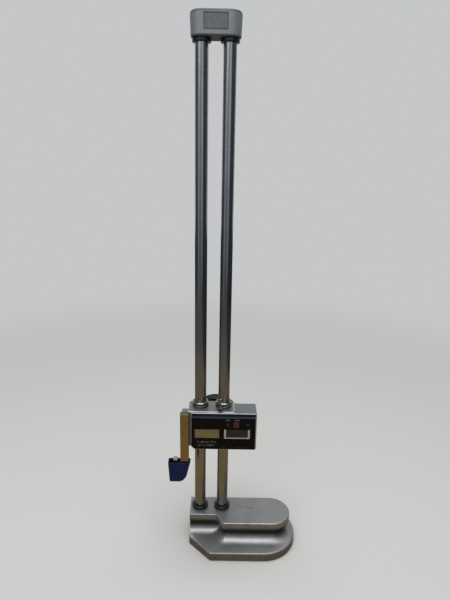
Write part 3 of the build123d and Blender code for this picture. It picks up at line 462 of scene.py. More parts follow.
@dataclass(frozen=True)
class MouldedRubber(Finish):
    """Nitrile rubber bumper rings: black, with a greasy shine and dust in the pores."""

    name: str = "moulded_rubber"
    tone: str = "#0e0e0f"
    cloud_tone: str = "#1c1b1a"
    roughness: float = 0.30
    roughness_swing: float = 0.10
    grain_size: float = 0.6 * MM


@dataclass(frozen=True)
class SatinAluminium(Finish):
    """Bead-blasted, anodised aluminium: an even cool grey, bare along rubbed edges."""

    name: str = "satin_aluminium"
    tone: str = "#818483"
    cloud_tone: str = "#8f9190"
    metallic: float = 0.8
    roughness: float = 0.36
    roughness_swing: float = 0.05
    grain_size: float = 0.4 * MM
    grain_depth: float = 0.01 * MM
    edge_tone: str = "#cdd0d1"
    edge_share: Pair = (0.25, 0.40)


@dataclass(frozen=True)
class TurnedDarkSteel(Finish):
    """Turned collars, dark with oil, with marks round the axis."""

    name: str = "turned_dark_steel"
    tone: str = "#6b6a64"
    cloud_tone: str = "#84827a"
    metallic: float = 0.95
    roughness: float = 0.26
    pattern: Pattern = Pattern.AROUND
    edge_tone: str = "#8d8c85"


@dataclass(frozen=True)
class PolishedSteel(Finish):
    """Bright polished steel: crisp highlights, faint hairlines."""

    name: str = "polished_steel"
    tone: str = "#9a9890"
    cloud_tone: str = "#85827a"
    metallic: float = 1.0
    roughness: float = 0.16
    roughness_swing: float = 0.05
    grain_depth: float = 0.003 * MM
    edge_tone: str = "#d8d6d0"


@dataclass(frozen=True)
class SinteredBronze(Finish):
    """Oil-filled bronze bushes: warm brown metal, slightly open grain."""

    name: str = "sintered_bronze"
    tone: str = "#9a7a4a"
    cloud_tone: str = "#7c6038"
    metallic: float = 1.0
    roughness: float = 0.38


@dataclass(frozen=True)
class MouldedPhenolic(Finish):
    """Black phenolic hand wheel: dark, slightly glossy where hands polish it."""

    name: str = "moulded_phenolic"
    tone: str = "#101011"
    cloud_tone: str = "#18181a"
    sheen_level: float = 0.25
    roughness: float = 0.40
    grain_size: float = 0.8 * MM
    grain_depth: float = 0.01 * MM
    edge_tone: str = "#2e2e2f"


@dataclass(frozen=True)
class PrintedPanel(Finish):
    """Black anodised panel: screen-printed bands along its top, bare metal at its sawn edges, whose
    near-white tone is partly a painted highlight.
    """

    name: str = "printed_panel"
    tone: str = "#0a0b09"
    cloud_tone: str = "#100f0c"
    sheen_level: float = 0.12
    roughness: float = 0.42
    roughness_swing: float = 0.05
    grain_size: float = 0.4 * MM
    grain_depth: float = 0.003 * MM
    # Bare metal at the edges, coloured near white as partly a painted highlight.
    edge_tone: str = "#d3d6d8"
    edge_share: Pair = (0.20, 0.30)
    bands: tuple[tuple[float, float, str], ...] = ()
    band_blur: float = 0.2 * MM

    def marks(self, tree: Tree, vector: Socket) -> list[Layer]:
        """List the printed bands, each between two heights.

        Args:
            tree: Node tree to add to.
            vector: Coordinates in metres.

        Returns:
            Each tone with its share.
        """
        height = add_node(tree, "ShaderNodeSeparateXYZ", None, {0: vector}).outputs["Z"]
        layers = []
        for low, high, tone in self.bands:
            sides = []
            for edge, blur in ((low, self.band_blur), (high, -self.band_blur)):
                settings = {"From Min": edge, "From Max": edge + blur}
                sides.append(add_node(tree, "ShaderNodeMapRange", settings, {"Value": height}).outputs[0])
            inside = add_node(tree, "ShaderNodeMath", {"operation": "MULTIPLY"}, {0: sides[0], 1: sides[1]})
            layers.append((tone, inside.outputs[0]))
        return layers


@dataclass(frozen=True)
class PanelInk(Finish):
    """Screen-printed pale ink, a little thin and uneven."""

    name: str = "panel_ink"
    tone: str = "#8e8d88"
    cloud_tone: str = "#55554f"
    roughness: float = 0.55
    mottle: float = 0.8
    cloud_size: float = 2 * MM


@dataclass(frozen=True)
class ClearAcrylic(Finish):
    """Thin clear acrylic window over a display: nearly invisible but for its reflections."""

    name: str = "clear_acrylic"
    tone: str = "#4a4a44"
    cloud_tone: str = "#56564f"
    roughness: float = 0.08
    roughness_swing: float = 0.03
    grain_depth: float = 0.001 * MM
    opacity: float = 0.10

    def gloss(self, shader: bpy.types.Node) -> None:
        """Let the display show through."""
        shader.inputs["Alpha"].default_value = self.opacity
        shader.inputs["IOR"].default_value = 1.49


@dataclass(frozen=True)
class PaleStyrene(Finish):
    """Pale moulded polystyrene frame round a window, greyed by handling."""

    name: str = "pale_styrene"
    tone: str = "#a5a29b"
    cloud_tone: str = "#8c8981"
    roughness: float = 0.40
    mottle: float = 0.7
    cloud_size: float = 7 * MM


@dataclass(frozen=True)
class ReflectiveDisplay(Finish):
    """Reflective liquid-crystal cell, switched off: khaki with a faint sheen."""

    name: str = "reflective_display"
    tone: str = "#b39b66"
    cloud_tone: str = "#9d8653"
    roughness: float = 0.32
    mottle: float = 0.6
    cloud_size: float = 14 * MM
    grain_size: float = 0.3 * MM
    grain_depth: float = 0.001 * MM


@dataclass(frozen=True)
class DarkCell(Finish):
    """Dark brown cell with fine upright electrode lines, one every 3.5 mm."""

    name: str = "dark_cell"
    tone: str = "#44382a"
    cloud_tone: str = "#382c1f"
    roughness: float = 0.30
    line_pitch: float = 3.5 * MM
    line_tone: str = "#463925"
    line_share: Pair = (0.80, 0.98)
    line_depth: float = 0.8

    def marks(self, tree: Tree, vector: Socket) -> list[Layer]:
        """List the upright lines.

        Args:
            tree: Node tree to add to.
            vector: Coordinates in metres.

        Returns:
            Their tone with its share.
        """
        settings = {"wave_type": "BANDS", "bands_direction": "X", "Scale": math.pi / 10 / self.line_pitch}
        waves = add_node(tree, "ShaderNodeTexWave", settings, {"Vector": vector})
        settings = {"From Min": self.line_share[0], "From Max": self.line_share[1],
                    "To Max": self.line_depth}
        lines = add_node(tree, "ShaderNodeMapRange", settings, {"Value": waves.outputs["Fac"]})
        return [(self.line_tone, lines.outputs[0])]


@dataclass(frozen=True)
class SolderMask(Finish):
    """Green solder mask over fibreglass: an even gloss over a faint weave."""

    name: str = "solder_mask"
    tone: str = "#1e5a34"
    cloud_tone: str = "#2a6a3e"
    roughness: float = 0.35


@dataclass(frozen=True)
class BlackMoulding(Finish):
    """Black moulded ABS of switches and small parts: dull, with a fine even grain."""

    name: str = "black_moulding"
    tone: str = "#161617"
    cloud_tone: str = "#212122"
    roughness: float = 0.42


@dataclass(frozen=True)
class SiliconeKey(Finish):
    """Silicone push key: soft sheen, dust in the surface."""

    name: str = "silicone_key"
    tone: str = "#121311"
    cloud_tone: str = "#1c1d1b"
    grain_size: float = 0.3 * MM


@dataclass(frozen=True)
class NickelCan(Finish):
    """Nickel-plated battery can: bright, slightly warm and clouded by handling."""

    name: str = "nickel_can"
    tone: str = "#c8c6c0"
    cloud_tone: str = "#b5b2ab"
    metallic: float = 1.0
    roughness: float = 0.2


@dataclass(frozen=True)
class DippedVinyl(Finish):
    """Plasticised vinyl dipped over a former: glossy navy with a lightly rippled skin."""

    name: str = "dipped_vinyl"
    tone: str = "#08153c"
    cloud_tone: str = "#0e1e4a"
    sheen_level: float = 0.22
    roughness: float = 0.38
    mottle: float = 0.8
    cloud_size: float = 9 * MM
    grain_size: float = 3.5 * MM
    grain_depth: float = 0.15 * MM
    edge_tone: str = "#2c3866"

# ---------------------------------------------------------------- mesh making
FRONT_VIEW = Matrix(((1, 0, 0, 0), (0, 0, -1, 0), (0, 1, 0, 0), (0, 0, 0, 1)))
"""Turns an outline of X and Y into one of X and Z."""


def blank() -> Mesh:
    """Start a mesh whose faces can be marked as worn.

    Returns:
        The empty mesh.
    """
    mesh = bmesh.new()
    mesh.faces.layers.float.new(WEAR)
    return mesh


def upright(x: float, y: float = 0.0) -> Matrix:
    """Frame that stands at a place in plan."""
    return Matrix.Translation((x, y, 0))


def about(origin: Sequence[float], direction: Sequence[float]) -> Matrix:
    """Frame with its origin at a point and its Z along a direction."""
    turn = Vector((0, 0, 1)).rotation_difference(Vector(direction)).to_matrix().to_4x4()
    return Matrix.Translation(origin) @ turn


def through(x: float, z: float) -> Matrix:
    """Frame whose Z runs back from Y = 0 at an X and a height."""
    return about((x, 0, z), (0, 1, 0))


def rounded(corners: Sequence[Corner], steps: int = 6) -> list[Pair]:
    """Round the corners of a flat outline.

    Args:
        corners: Corner points in order, each with its radius.
        steps: Pieces in each arc.

    Returns:
        The outline's points.
    """
    points: list[Pair] = []
    for index, (x, y, radius) in enumerate(corners):
        here = Vector((x, y))
        before = Vector(corners[index - 1][:2]) - here
        after = Vector(corners[(index + 1) % len(corners)][:2]) - here
        half = before.angle(after) / 2
        if radius <= 0 or half > math.radians(88):
            points.append((x, y))
            continue
        reach = radius / math.tan(half)
        centre = here + (before.normalized() + after.normalized()).normalized() * (radius / math.sin(half))
        start = here + before.normalized() * reach - centre
        sweep = start.angle_signed(here + after.normalized() * reach - centre)
        for step in range(steps + 1):
            turn = -sweep * step / steps
            arm = Vector((start.x * math.cos(turn) - start.y * math.sin(turn),
                          start.x * math.sin(turn) + start.y * math.cos(turn)))
            points.append(tuple(centre + arm))
    return points


def rounded_box(middle: Pair, half: Pair, radius: float, steps: int) -> list[Pair]:
    """Outline of a box with four equal round corners.

    Args:
        middle: Its centre.
        half: Half its width and half its height.
        radius: Radius of its corners.
        steps: Pieces in each arc.

    Returns:
        The outline's points.
    """
    (x, y), (wide, tall) = middle, half
    return rounded([(x - wide, y - tall, radius), (x + wide, y - tall, radius),
                    (x + wide, y + tall, radius), (x - wide, y + tall, radius)], steps)


def lathe(mesh: Mesh, outline: Sequence[Pair], turn: Matrix = Matrix(), segments: int = 96,
          knurl: float = 0.0) -> None:
    """Revolve a closed (radius, height) outline about local Z.

    Args:
        mesh: Mesh to add to.
        outline: Points of the section, in order.
        turn: Place and direction of the local frame.
        segments: Steps round the axis.
        knurl: Depth that every second step is pulled in.
    """
    widest = max(radius for radius, _ in outline)
    rings = []
    for step in range(segments):
        angle = 2 * math.pi * step / segments
        ring = []
        for radius, height in outline:
            reach = radius - (knurl if step % 2 and radius > widest - 2 * knurl else 0.0)
            place = Vector((reach * math.cos(angle), reach * math.sin(angle), height))
            ring.append(mesh.verts.new(turn @ place))
        rings.append(ring)
    for step in range(segments):
        here, there = rings[step], rings[(step + 1) % segments]
        for index in range(len(outline)):
            after = (index + 1) % len(outline)
            if max(outline[index][0], outline[after][0]) > 0:
                mesh.faces.new((here[index], there[index], there[after], here[after]))


def turned(mesh: Mesh, radii: Sequence[float], stops: Sequence[float], turn: Matrix,
           segments: int = 64) -> None:
    """Add a round length of one or more diameters: a pin, or the drill for a bore.

    Args:
        mesh: Mesh to add to.
        radii: Radius of each length, in order.
        stops: Where each length starts along local Z, and where the last one ends.
        turn: Place and direction of the local frame.
        segments: Steps round the axis.
    """
    lengths = zip(radii, zip(stops, stops[1:]))
    sides = [(radius, stop) for radius, ends in lengths for stop in ends]
    lathe(mesh, [(0, stops[0]), *sides, (0, stops[-1])], turn, segments)


def skin(mesh: Mesh, levels: Sequence[Sequence[Vector]], closed: bool,
         worn: Sequence[bool] = ()) -> list[list[bmesh.types.BMVert]]:
    """Join stacked levels with bands of faces, and close the first and the last.

    Args:
        mesh: Mesh to add to.
        levels: Points of each level, as many on each.
        closed: Whether a level's last point joins its first.
        worn: Whether each band is worn, from the first; none if not given.

    Returns:
        The levels' vertices.
    """
    rings = [[mesh.verts.new(point) for point in level] for level in levels]
    wear = mesh.faces.layers.float[WEAR]
    for band, (upper, lower) in enumerate(zip(rings, rings[1:])):
        for index in range(len(upper) if closed else len(upper) - 1):
            after = (index + 1) % len(upper)
            face = mesh.faces.new((upper[index], upper[after], lower[after], lower[index]))
            face[wear] = float(bool(worn) and worn[band])
    mesh.faces.new(rings[0])
    mesh.faces.new(list(reversed(rings[-1])))
    return rings


def prism(mesh: Mesh, outline: Sequence[Pair], low: float, high: float, turn: Matrix = Matrix()) -> None:
    """Stand a flat outline up along local Z.

    Args:
        mesh: Mesh to add to.
        outline: Points of the outline, in order.
        low: Height of its foot.
        high: Height of its head.
        turn: Place and direction of the local frame.
    """
    foot = [mesh.verts.new(turn @ Vector((x, y, low))) for x, y in outline]
    head = [mesh.verts.new(turn @ Vector((x, y, high))) for x, y in outline]
    mesh.faces.new(list(reversed(foot)))
    mesh.faces.new(head)
    for index in range(len(outline)):
        after = (index + 1) % len(outline)
        mesh.faces.new((foot[index], foot[after], head[after], head[index]))


def slab(mesh: Mesh, low: Point, high: Point) -> None:
    """Add a block between two corners, as the start of a shaped piece."""
    outline = [(low[0], low[1]), (high[0], low[1]), (high[0], high[1]), (low[0], high[1])]
    prism(mesh, outline, low[2], high[2])


def facing(mesh: Mesh, outline: Sequence[Pair], front: float, back: float) -> None:
    """Add a plate whose outline is given as X and Z, between two Y planes."""
    prism(mesh, outline, -back, -front, FRONT_VIEW)


def clean(mesh: Mesh) -> None:
    """Merge doubled points and turn every face outwards."""
    bmesh.ops.remove_doubles(mesh, verts=mesh.verts, dist=MERGED)
    bmesh.ops.recalc_face_normals(mesh, faces=mesh.faces)


def bevel(mesh: Mesh, edges: Sequence[bmesh.types.BMEdge], radius: float,
          steps: int) -> list[bmesh.types.BMFace]:
    """Round some edges.

    Args:
        mesh: Mesh to work on.
        edges: The edges.
        radius: Reach of the rounding.
        steps: Faces across it.

    Returns:
        The roundings' faces.
    """
    return bmesh.ops.bevel(mesh, geom=edges, offset=radius, segments=steps, profile=0.5, affect="EDGES",
                           clamp_overlap=True)["faces"]


def soften(mesh: Mesh, radius: float, steps: int = 3, sharper: float = 50.0) -> None:
    """Round every edge that turns by more than an angle, and mark the roundings as worn.

    Args:
        mesh: Mesh to work on.
        radius: Reach of the rounding.
        steps: Faces across it.
        sharper: Least angle in degrees.
    """
    clean(mesh)
    limit = math.radians(sharper)
    edges = [edge for edge in mesh.edges if edge.is_manifold and edge.calc_face_angle(0.0) > limit]
    faces = bevel(mesh, edges, radius, steps)
    wear = mesh.faces.layers.float[WEAR]
    for face in faces:
        face[wear] = 1.0


def add_object(name: str, data: bpy.types.ID) -> Piece:
    """Put a mesh, a text, a lamp or a camera into the scene.

    Args:
        name: The object's name.
        data: What it shows.

    Returns:
        The object.
    """
    piece = bpy.data.objects.new(name, data)
    bpy.context.scene.collection.objects.link(piece)
    return piece


def shown(name: str, mesh: Mesh) -> Piece:
    """Turn a bmesh into an object as it is.

    Args:
        name: The object's name.
        mesh: Mesh, which is freed.

    Returns:
        The object.
    """
    data = bpy.data.meshes.new(name)
    mesh.to_mesh(data)
    mesh.free()
    return add_object(name, data)


def solid(name: str, mesh: Mesh) -> Piece:
    """Clean a finished bmesh and turn it into an object, which frees it."""
    clean(mesh)
    return shown(name, mesh)


def settle(piece: Piece) -> None:
    """Apply a piece's modifiers to its mesh.

    Args:
        piece: The object.
    """
    bpy.context.view_layer.update()
    result = piece.evaluated_get(bpy.context.evaluated_depsgraph_get())
    data = bpy.data.meshes.new_from_object(result)
    piece.modifiers.clear()
    piece.data = data


def carve(piece: Piece, cutter: Mesh) -> None:
    """Cut a shape out of a piece.

    Args:
        piece: Object to cut.
        cutter: Mesh of what is taken away, which is freed.
    """
    tool = solid("cutter", cutter)
    cut = piece.modifiers.new("cut", "BOOLEAN")
    cut.operation = "DIFFERENCE"
    cut.solver = "EXACT"
    cut.use_self = True
    cut.object = tool
    settle(piece)
    bpy.data.objects.remove(tool)


def notch(piece: Piece, low: Point, high: Point) -> None:
    """Cut a block out of a piece.

    Args:
        piece: Object to cut.
        low: The block's lowest corner.
        high: The block's highest corner.
    """
    cutter = blank()
    slab(cutter, low, high)
    carve(piece, cutter)


def finish_piece(piece: Piece, material: Material, body: str, nodes: Sequence[str] = (),
                 smooth: float = 38.0) -> None:
    """Shade a piece, dress it, and let it ride on a body and stand for CAD nodes.

    Args:
        piece: The object.
        material: Its finish.
        body: Body that it moves with.
        nodes: CAD nodes that it stands for.
        smooth: Angle in degrees up to which its faces shade as one.
    """
    data = piece.data
    data.materials.clear()
    data.materials.append(material)
    data.shade_smooth()
    data.set_sharp_from_angle(angle=math.radians(smooth))
    weigh = piece.modifiers.new("weigh", "WEIGHTED_NORMAL")
    weigh.keep_sharp = True
    settle(piece)
    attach(piece, body)
    if nodes:
        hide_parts(*nodes)
    LOG.info("%s on %s, for %s, in %s", piece.name, body, ", ".join(nodes) or "no node", material.name)


def dress_node(name: str, material: Material) -> None:
    """Give a CAD node its finish.

    Args:
        name: Node in the frame.
        material: Finish for all its faces.
    """
    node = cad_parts[name]
    node.data.materials.clear()
    node.data.materials.append(material)
    LOG.info("%s dressed in %s", name, material.name)


def band(low: float, high: float, soft: float, most: float) -> Box:
    """Box of painted shade over everything between two heights."""
    return (-1.0, -1.0, low), (1.0, 1.0, high), soft, most


# ---------------------------------------------------------------- stand
@dataclass
class BaseCasting:
    """Heavy casting: a stepped deck over a finger groove and a broad sloping plinth."""

    height: float = 50 * MM
    left: float = -34 * MM
    deck_end: float = 129 * MM
    deck_back: float = 20.5 * MM
    deck_front_left: float = -22 * MM
    deck_front_right: float = -41.4 * MM
    deck_thickness: float = 12.5 * MM
    deck_edge: float = 1.5 * MM
    deck_under: tuple[Pair, ...] = ((0.0, 0.9 * MM), (0.25 * MM, 0.3 * MM), (0.9 * MM, 0.0))
    step_start: float = 5.7 * MM
    step_run: float = 17.3 * MM
    step_lead: float = 0.62
    groove: float = 9 * MM
    groove_upper: float = 5 * MM
    groove_run: float = 19 * MM
    groove_drop: float = 17 * MM
    groove_end: float = 84.0
    groove_shade: Pair = (7 * MM, 6 * MM)
    plinth_end: float = 138 * MM
    plinth_front: float = -65 * MM
    plinth_back: float = 44 * MM
    plinth_cut_front: float = 34.5 * MM
    plinth_cut_back: float = 20 * MM
    plinth_top: float = 14.6 * MM
    plinth_slope: tuple[float, ...] = (0.25, 0.5, 0.75, 0.92)
    plinth_edge: float = 1.3 * MM
    skirt_blur: float = 2 * MM
    foot_chamfer: float = 1.2 * MM
    bore: float = 8.77 * MM
    bore_floor: float = 20 * MM
    bolt_seat: float = 17 * MM
    bolt_bore: float = 3.3 * MM
    bolt_recess: float = 5.4 * MM
    relief: float = 1.2 * MM
    relief_inset: float = 16 * MM
    rubbed: tuple[tuple[Pair, Pair, float], ...] = (
        ((37 * MM, -1.5 * MM), (88 * MM, -6.0 * MM), 0.8 * MM),
        ((52 * MM, -5.5 * MM), (74 * MM, -8.5 * MM), 0.5 * MM),
        ((-13.5 * MM, -54 * MM), (-8.5 * MM, -48 * MM), 1.6 * MM),
        ((69 * MM, -36 * MM), (72.5 * MM, -33.5 * MM), 0.8 * MM),
        ((36 * MM, -65.2 * MM), (40 * MM, -62.8 * MM), 0.9 * MM),
        ((61 * MM, -65 * MM), (64 * MM, -63.2 * MM), 0.7 * MM),
    )

    def step_depth(self, x: float, inset: float) -> float:
        """Share of the deck's forward step reached at one X.

        Args:
            x: Place along the deck.
            inset: How far the outline is moved in.

        Returns:
            0 to the left of the step and 1 to its right.
        """
        place = min(max((x - self.step_start - inset) / self.step_run, 0.0), 1.0)
        low, high, lead = 0.0, 1.0, self.step_lead
        # Halve the range until it holds the curve's parameter at this place.
        for _ in range(24):
            middle = (low + high) / 2
            rest = 1 - middle
            reach = 3 * lead * middle * rest ** 2 + 3 * (1 - lead) * middle ** 2 * rest + middle ** 3
            low, high = (middle, high) if reach < place else (low, middle)
        return 3 * low ** 2 - 2 * low ** 3

    def stations(self, cut: float, end: float, coarse: int, fine: int) -> list[float]:
        """List X places from the flat end to the round one.

        Args:
            cut: Run of the cut corner.
            end: X where the round end starts.
            coarse: Places over the cut corner.
            fine: Places over the rest.

        Returns:
            The places, from left to right.
        """
        knee = self.left + cut
        near = [self.left + (knee - self.left) * i / coarse for i in range(coarse)]
        return near + [knee + (end - knee) * i / fine for i in range(fine)]

    def ring(self, deck: bool, inset: float, z: float) -> list[Vector]:
        """Points of one level, from the flat end's back corner round to its front one.

        Args:
            deck: Whether the outline is the deck's and not the plinth's.
            inset: How far the outline is moved in.
            z: Height of the level.

        Returns:
            The level's points, as many on every level.
        """
        back = (self.deck_back if deck else self.plinth_back) - inset
        front = (self.deck_front_right if deck else self.plinth_front) + inset
        radius = (back - front) / 2
        centre = (self.deck_end if deck else self.plinth_end) - inset - radius
        # A cut at 45 degrees moves in by the same distance, square to itself.
        lean = 0.0 if deck else inset * (math.sqrt(2) - 1)
        cut_back, cut_front = self.plinth_cut_back + lean, self.plinth_cut_front + lean
        points = []
        for x in self.stations(cut_back, centre, 10, 24):
            corner = 0.0 if deck else max(0.0, cut_back - (x - self.left))
            points.append(Vector((x, back - corner, z)))
        arc = 48
        for step in range(arc + 1):
            turn = math.pi / 2 - math.pi * step / arc
            y = (back + front) / 2 + radius * math.sin(turn)
            points.append(Vector((centre + radius * math.cos(turn), y, z)))
        widening = self.deck_front_left - self.deck_front_right
        for x in reversed(self.stations(cut_front, centre, 32, 60)):
            if deck:
                y = front + widening * (1 - self.step_depth(x, inset))
            else:
                y = front + max(0.0, cut_front - (x - self.left))
            points.append(Vector((x, y, z)))
        return points

    def levels(self) -> list[tuple[list[Vector], bool]]:
        """List every level, from the deck's top down.

        Returns:
            Each level's points, and whether the band above it is worn.
        """
        stack: list[tuple[list[Vector], bool]] = []
        for step in range(7):
            turn = math.radians(15 * step)
            inset = self.deck_edge * (1 - math.sin(turn))
            drop = self.deck_edge * (1 - math.cos(turn))
            stack.append((self.ring(True, inset, self.height - drop), step > 0))
        under = self.height - self.deck_thickness
        for inset, rise in self.deck_under:
            stack.append((self.ring(True, inset, under + rise), False))
        waist = under - self.groove_upper
        for step in range(6):
            turn = math.radians(18 * step)
            inset = self.groove - self.groove_upper * (1 - math.sin(turn))
            stack.append((self.ring(True, inset, waist + self.groove_upper * math.cos(turn)), False))
        for step in range(1, 11):
            turn = math.radians(self.groove_end * step / 10)
            inset = self.groove - self.groove_run * (1 - math.cos(turn))
            stack.append((self.ring(True, inset, waist - self.groove_drop * math.sin(turn)), False))
        inner = stack[-1][0]
        outer = self.ring(False, self.plinth_edge, self.plinth_top)
        for share in self.plinth_slope:
            stack.append(([a.lerp(b, share) for a, b in zip(inner, outer)], False))
        for step in range(6):
            turn = math.radians(15 + 15 * step)
            inset = self.plinth_edge * (1 - math.sin(turn))
            drop = self.plinth_edge * (1 - math.cos(turn))
            stack.append((self.ring(False, inset, self.plinth_top - drop), step > 0))
        stack.append((self.ring(False, 0.0, self.foot_chamfer), False))
        stack.append((self.ring(False, self.foot_chamfer, 0.0), False))
        return stack

    def body(self) -> Mesh:
        """Skin the levels and close the flat end.

        Returns:
            The closed mesh.
        """
        mesh = blank()
        points, worn = zip(*self.levels())
        rings = skin(mesh, points, False, worn[1:])
        mesh.faces.new([ring[0] for ring in rings] + [ring[-1] for ring in reversed(rings)])
        return mesh

    def bores(self) -> Mesh:
        """Drill the column bores and the bolt holes, and relieve the underside.

        Returns:
            What is cut away.
        """
        mesh = blank()
        for x in COLUMN_X:
            turned(mesh, (self.bolt_recess, self.bolt_bore, self.bore),
                   (-PAST, self.bolt_seat, self.bore_floor, self.height + 5 * PAST), upright(x))
        middle = (self.plinth_back + self.plinth_front) / 2
        reach = (self.plinth_back - self.plinth_front) / 2 - self.relief_inset
        start, end = COLUMN_X[1] + 2 * self.relief_inset, self.plinth_end - self.relief_inset
        nearly_half = reach * 0.999
        corners = [(start, middle - reach, 0.0), (end, middle - reach, nearly_half),
                   (end, middle + reach, nearly_half), (start, middle + reach, 0.0)]
        prism(mesh, rounded(corners, 24), -PAST, self.relief)
        return mesh

    def build(self) -> None:
        """Build and dress the casting."""
        piece = solid("base_body", self.body())
        carve(piece, self.bores())
        # Painted shade: the groove under the deck is darkened, and so is the plinth's side below its
        # rounded edge.
        under = self.height - self.deck_thickness
        deep, soft = self.groove_shade
        hollow = band(under - self.groove_upper - deep, under, soft, 1.0)
        skirt = band(-1.0, self.plinth_top - self.plinth_edge - self.skirt_blur, self.skirt_blur, 0.4)
        iron = LacqueredCastIron(scratches=self.rubbed, shade_boxes=(hollow, skirt)).material()
        finish_piece(piece, iron, "stand", ("base_casting",), 34.0)


@dataclass
class Columns:
    """Two ground columns; the right one has a slot for the rack along its inner side."""

    radius: float = 8.75 * MM
    foot: float = 20 * MM
    top: float = 768 * MM
    chamfer: float = 0.6 * MM
    bolt_hole: float = 3.02 * MM
    bolt_depth: float = 15 * MM
    slot_back: float = 4 * MM
    slot_width: float = 5 * MM
    slot_span: Pair = (63 * MM, 735 * MM)

    def bar(self, name: str, x: float) -> Piece:
        """Turn one bar with chamfered ends and its bolt hole.

        Args:
            name: The piece's name.
            x: Its place.

        Returns:
            The bar.
        """
        neck, end = self.radius - self.chamfer, self.foot + self.bolt_depth
        outline = [(self.bolt_hole, self.foot), (neck, self.foot), (self.radius, self.foot + self.chamfer),
                   (self.radius, self.top - self.chamfer), (neck, self.top), (0, self.top), (0, end),
                   (self.bolt_hole, end)]
        mesh = blank()
        lathe(mesh, outline, upright(x), 128)
        return solid(name, mesh)

    def build(self) -> None:
        """Build and dress both columns."""
        steel = GroundSteel().material()
        finish_piece(self.bar("left_bar", COLUMN_X[0]), steel, "stand", ("left_column",))
        right = self.bar("right_bar", COLUMN_X[1])
        edge, half = COLUMN_X[1] - self.radius, self.slot_width / 2
        low, high = self.slot_span
        notch(right, (edge - PAST, -half, low), (edge + self.slot_back, half, high))
        finish_piece(right, steel, "stand", ("right_column",))


@dataclass
class TopCap:
    """Rounded cap over both columns, with a sunk badge panel left bare."""

    foot: float = 748 * MM
    height: float = 29.5 * MM
    width: float = 65.6 * MM
    depth: float = 33.5 * MM
    corner: float = 15 * MM
    draft: float = 0.9 * MM
    edge: float = 4 * MM
    lip: float = 2 * MM
    bore: float = 8.77 * MM
    bore_depth: float = 20 * MM
    grub: float = 2.52 * MM
    panel: Pair = (30.6 * MM, 18.9 * MM)
    panel_drop: float = 4.5 * MM
    panel_sink: float = 1 * MM
    panel_border: float = 1.3 * MM
    plaque_sink: float = 0.45 * MM
    plaque_edge: float = 0.25 * MM

    def outline(self, inset: float, z: float) -> list[Vector]:
        """Rounded rectangle of one level.

        Args:
            inset: How far it is moved in.
            z: Height of the level.

        Returns:
            Its points.
        """
        x, y = self.width / 2 - inset, self.depth / 2 - inset
        radius = self.corner - inset
        corners = [(x, -y, radius), (x, y, radius), (-x, y, radius), (-x, -y, radius)]
        return [Vector((px, py, z)) for px, py in rounded(corners, 14)]

    def shell(self) -> Mesh:
        """Stack the levels from the crowned top to the rounded foot.

        Returns:
            The closed mesh.
        """
        top = self.foot + self.height
        levels = []
        for step in range(8):
            turn = math.radians(90 * step / 7)
            drop = self.edge * (1 - math.cos(turn))
            levels.append(self.outline(self.edge * (1 - math.sin(turn)), top - drop))
        for step in range(5):
            turn = math.radians(90 * step / 4)
            inset = self.draft + self.lip * (1 - math.cos(turn))
            levels.append(self.outline(inset, self.foot + self.lip * (1 - math.sin(turn))))
        mesh = blank()
        skin(mesh, levels, True)
        return mesh

    def build(self) -> None:
        """Build and dress the cap and its plaque."""
        piece = solid("cap_shell", self.shell())
        cutter = blank()
        for x in COLUMN_X:
            turned(cutter, (self.bore,), (self.foot - PAST, self.foot + self.bore_depth), upright(x))
            turned(cutter, (self.grub,), (0, self.depth), through(x, self.foot + self.bore_depth / 2), 32)
        carve(piece, cutter)
        top, front = self.foot + self.height, -self.depth / 2
        half, border = self.panel[0] / 2, self.panel_border
        panel_top = top - self.panel_drop
        panel_foot = panel_top - self.panel[1]
        notch(piece, (-half, front - 2 * PAST, panel_foot), (half, front + self.panel_sink, panel_top))
        plaque = blank()
        slab(plaque, (-half + border, front + self.plaque_sink, panel_foot + border),
             (half - border, front + 2 * self.panel_sink, panel_top - border))
        soften(plaque, self.plaque_edge, 2)
        plate = solid("cap_plaque", plaque)
        # Painted shade in the panel's recess, on the rim underneath and along the crown.
        recess = ((-half, front + 0.9 * MM, panel_foot), (half, front + 1.5 * MM, panel_top), 0.2 * MM, 0.6)
        under = band(0.0, self.foot + 1 * MM, 1 * MM, 0.6)
        crown_shade = band(top - self.edge + 1 * MM, top - 0.3 * MM, 1 * MM, 0.8)
        paint = PaintedIron(shade_boxes=(recess, under, crown_shade)).material()
        enamel = PaintedIron(name="plaque_enamel", tone="#75787b", cloud_tone="#606366", mottle=0.6,
                             cloud_size=6 * MM).material()
        finish_piece(piece, paint, "stand", ("top_cap",), 34.0)
        finish_piece(plate, enamel, "stand")


@dataclass
class Bumpers:
    """Soft rings round the columns' feet and under the cap."""

    bore: float = 8.8 * MM
    height: float = 5 * MM
    lower: Pair = (13 * MM, 50 * MM)
    upper: Pair = (12.2 * MM, 743 * MM)
    roundness: float = 1.7 * MM

    def build(self) -> None:
        """Build and dress both pairs."""
        rubber = MouldedRubber().material()
        for name, (radius, foot) in (("lower_bumpers", self.lower), ("upper_bumpers", self.upper)):
            mesh = blank()
            top = foot + self.height
            corners = [(self.bore, foot, 0.2 * MM), (radius, foot, 0.8 * MM), (radius, top, self.roundness),
                       (self.bore, top, 0.5 * MM)]
            for x in COLUMN_X:
                lathe(mesh, rounded(corners), upright(x), 80)
            finish_piece(solid(name + "_soft", mesh), rubber, "stand", (name,), 50.0)


